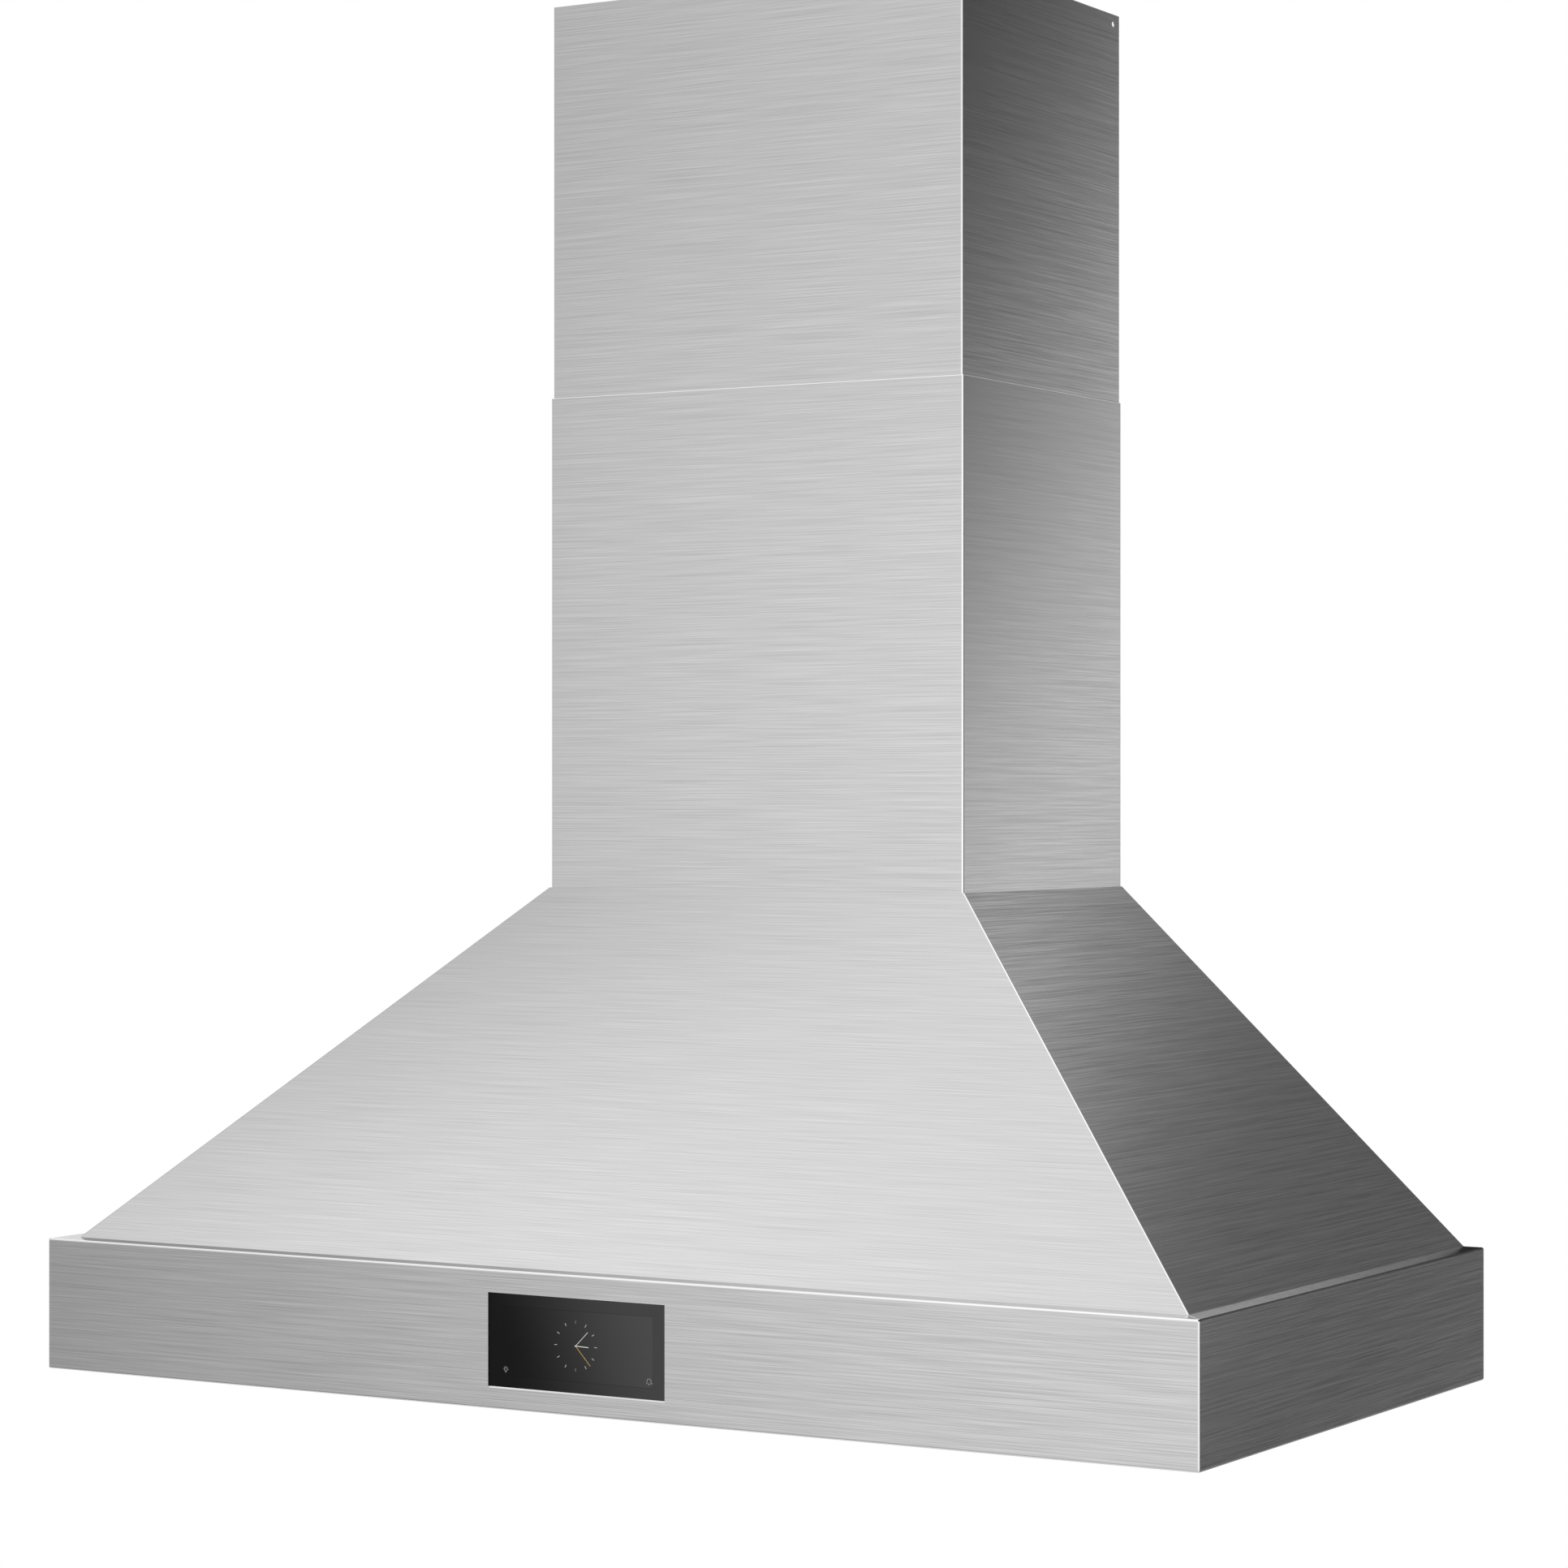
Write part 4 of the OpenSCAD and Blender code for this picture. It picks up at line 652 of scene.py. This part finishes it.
# The two white hands meet under a hub. The gold one is longer and has a short tail.
hub, tail = .0012, .0007
joined("clock_hands", [
    bar("minute_hand", clock_x, clock_z, length=.0183, width=.0005, turn=45, lift=.00012),
    bar("hour_hand", clock_x, clock_z, length=.0136, width=.0007, turn=92, lift=.00014),
    bar("hub", clock_x, clock_z - hub / 2, length=hub, width=hub, turn=0, lift=.0002)],
    lit("white_light", (.62, .62, .60)))
joined("second_hand", [
    bar("second_hand", clock_x - tail, clock_z + tail, length=.024, width=.0004, turn=137, lift=.00017)],
    lit("gold_light", (.62, .40, .10)))


def outline(name, points, closed):
    """A drawn line of round wire on the glass, made a mesh."""
    wire_r, wire_lift = .00014, .00018
    c = bpy.data.curves.new(name, "CURVE")
    c.dimensions = "3D"
    c.bevel_depth = wire_r
    c.bevel_resolution = 1
    line = c.splines.new("POLY")
    line.points.add(len(points) - 1)
    for q, (x, z) in zip(line.points, points):
        q.co = (x, glass_front - wire_lift, mid_z + z, 1)
    line.use_cyclic_u = closed
    o = bpy.data.objects.new(name, c)
    bpy.context.scene.collection.objects.link(o)
    bpy.ops.object.select_all(action="DESELECT")
    o.select_set(True)
    bpy.context.view_layer.objects.active = o
    bpy.ops.object.convert(target="MESH")
    return bpy.context.active_object


def arc(x, z, r, start, end, steps):
    """Points on a circle round x, z from the angle start to end."""
    return [on_circle(x, z, r, start + (end - start) * i / steps) for i in range(steps + 1)]


# On the left a bulb with its neck, cap and five rays, and on the right a bell with a dot.
icon_light = lit("icon_light", (.45, .45, .45))
x, z = -.0757, -.0267
bulb_z, bulb_r, neck, foot_z = z + .0006, .0015, .0007, z - .0013
cap_half, cap_z = .0006, z - .0019
ray_near, ray_far = .0021, .0028
left_foot, right_foot = [(x - neck, foot_z)], [(x + neck, foot_z)]
crown = arc(x, bulb_z, bulb_r, start=-150, end=150, steps=14)
bulb = [
    outline("bulb", left_foot + crown + right_foot, closed=True),
    outline("cap", [(x - cap_half, cap_z), (x + cap_half, cap_z)], closed=False)]
for turn in (-90, -45, 0, 45, 90):
    ends = [on_circle(x, bulb_z, r, turn) for r in (ray_near, ray_far)]
    bulb.append(outline("ray", ends, closed=False))
joined("lamp_icon", bulb, icon_light)

x, z = .0769, -.0266
dome_z, dome_r, skirt_z, hem, hem_z = z + .0006, .0021, z - .0008, .0028, z - .0016
clapper_z, clapper_r = z - .0019, .0006
dot_x, dot_z, dot_r = x + .0034, z - .0014, .0002
left_side = [(x - hem, hem_z), (x - dome_r, skirt_z)]
right_side = [(x + dome_r, skirt_z), (x + hem, hem_z)]
dome = arc(x, dome_z, dome_r, start=-90, end=90, steps=10)
joined("timer_icon", [
    outline("bell", left_side + dome + right_side, closed=True),
    outline("clapper", arc(x, clapper_z, clapper_r, start=90, end=270, steps=6), closed=False),
    outline("dot", arc(dot_x, dot_z, dot_r, start=0, end=300, steps=5), closed=True)], icon_light)

# ---- Lamps ----
# Cast cups with a satin ring, a milky lens with fine rings pressed into it, and a white board
# behind the lens that carries yellow chips.

lamp_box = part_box("lamp_lenses")
lamp_mid = (lamp_box[0].y + lamp_box[1].y) / 2
lamp_wide = lamp_box[1].y - lamp_box[0].y
lamp_count = 4
lamp_pitch = (lamp_box[1].x - lamp_box[0].x - lamp_wide) / (lamp_count - 1)
row_half = lamp_pitch * lamp_count / 2
board_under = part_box("lamp_boards")[0].z
chip_thick = .0007


def lamp_part(name, colour, chips, rough, rib):
    """A finish with fine ribs round the middle of each lamp; rib is how close they lie."""
    cloud_scale, dimmer, smoother, rougher, relief, rib_depth = 40.0, .94, .03, .05, .35, .0004
    m, w, p = fresh(name)
    at = w.node("TexCoord").outputs["Object"]
    x, y, z = w.split(at)
    place = w.math("FRACT", w.math("DIVIDE", w.math("ADD", x, row_half), lamp_pitch))
    off_x = w.math("MULTIPLY", w.math("SUBTRACT", place, .5), lamp_pitch)
    off_y = w.math("SUBTRACT", y, lamp_mid)
    r = w.math("SQRT", w.math("ADD", w.math("MULTIPLY", off_x, off_x), w.math("MULTIPLY", off_y, off_y)))
    tone = w.noise(at, cloud_scale)
    base = w.blend(tone, (*[c * dimmer for c in colour], 1), (*colour, 1))
    if chips:
        base = w.blend(w.math("LESS_THAN", z, board_under + chip_thick), base, (*chips, 1))
    w.put(p.inputs["Base Color"], base)
    w.put(p.inputs["Roughness"], w.spread(tone, rough - smoother, rough + rougher))
    w.bump(p, w.math("SINE", w.math("MULTIPLY", r, rib)), relief, rib_depth)
    return m


finish(plain("lamp_metal", (.5, .5, .51), .45, metal=.9, speck=.12, relief=.4), "lamp_bodies")
finish(brushed("lamp_ring", (.66, .74), .2, turn=.3), "lamp_rings")
finish(lamp_part("lamp_lens", (.86, .85, .80), None, .22, 2400.0), "lamp_lenses")
finish(lamp_part("lamp_board", (.82, .82, .78), (.75, .55, .08), .4, 900.0), "lamp_boards")

# ---- Blower motor and damper seat ----
# The motor is a black enamelled shell with a slight orange-peel surface. The damper's flaps close
# on a ring of dark foam.

finish(plain("motor_paint", (.045, .047, .05), .38, speck=.2, relief=.5, coat=.4), "blower_motor")
finish(plain("seat_foam", (.05, .05, .052), .9, speck=.4, relief=.5), "damper_seat")

# ---- Floor ----
# A wide pale disc well below the hood catches its shadow and fades out into the white room. It
# can't be seen from underneath, so it never hides the hood's underside.

floor_r, floor_z, floor_band = 3.5, -2.2, .6
fade_start, fade_end = 1.2, 3.3
cloud_scale, cloud_dark, cloud_light = 3.0, .88, .92
smudge_scale, smoothest, roughest = 8.0, .75, .85
bpy.ops.object.select_all(action="DESELECT")
bpy.ops.mesh.primitive_circle_add(vertices=96, radius=floor_r, fill_type="NGON", location=(0, 0, floor_z))
floor = bpy.context.active_object
floor.name = "floor"
bpy.ops.object.mode_set(mode="EDIT")
bpy.ops.mesh.inset(thickness=floor_band)
bpy.ops.object.mode_set(mode="OBJECT")
into_mesh(floor)
floor_paint, w, p = fresh("floor_paint")
at = w.node("TexCoord").outputs["Object"]
away = w.vector("LENGTH", w.vector("MULTIPLY", at, level_only))
w.put(p.inputs["Base Color"], w.blend(w.noise(at, cloud_scale), grey(cloud_dark), grey(cloud_light)))
w.put(p.inputs["Roughness"], w.spread(w.noise(at, smudge_scale), smoothest, roughest))
from_above = w.math("SUBTRACT", 1.0, w.node("NewGeometry").outputs["Backfacing"])
kept = w.span(away, fade_start, fade_end, 1.0, 0.0, smooth=True)
w.put(p.inputs["Alpha"], w.math("MULTIPLY", from_above, kept))
floor.data.materials.append(floor_paint)
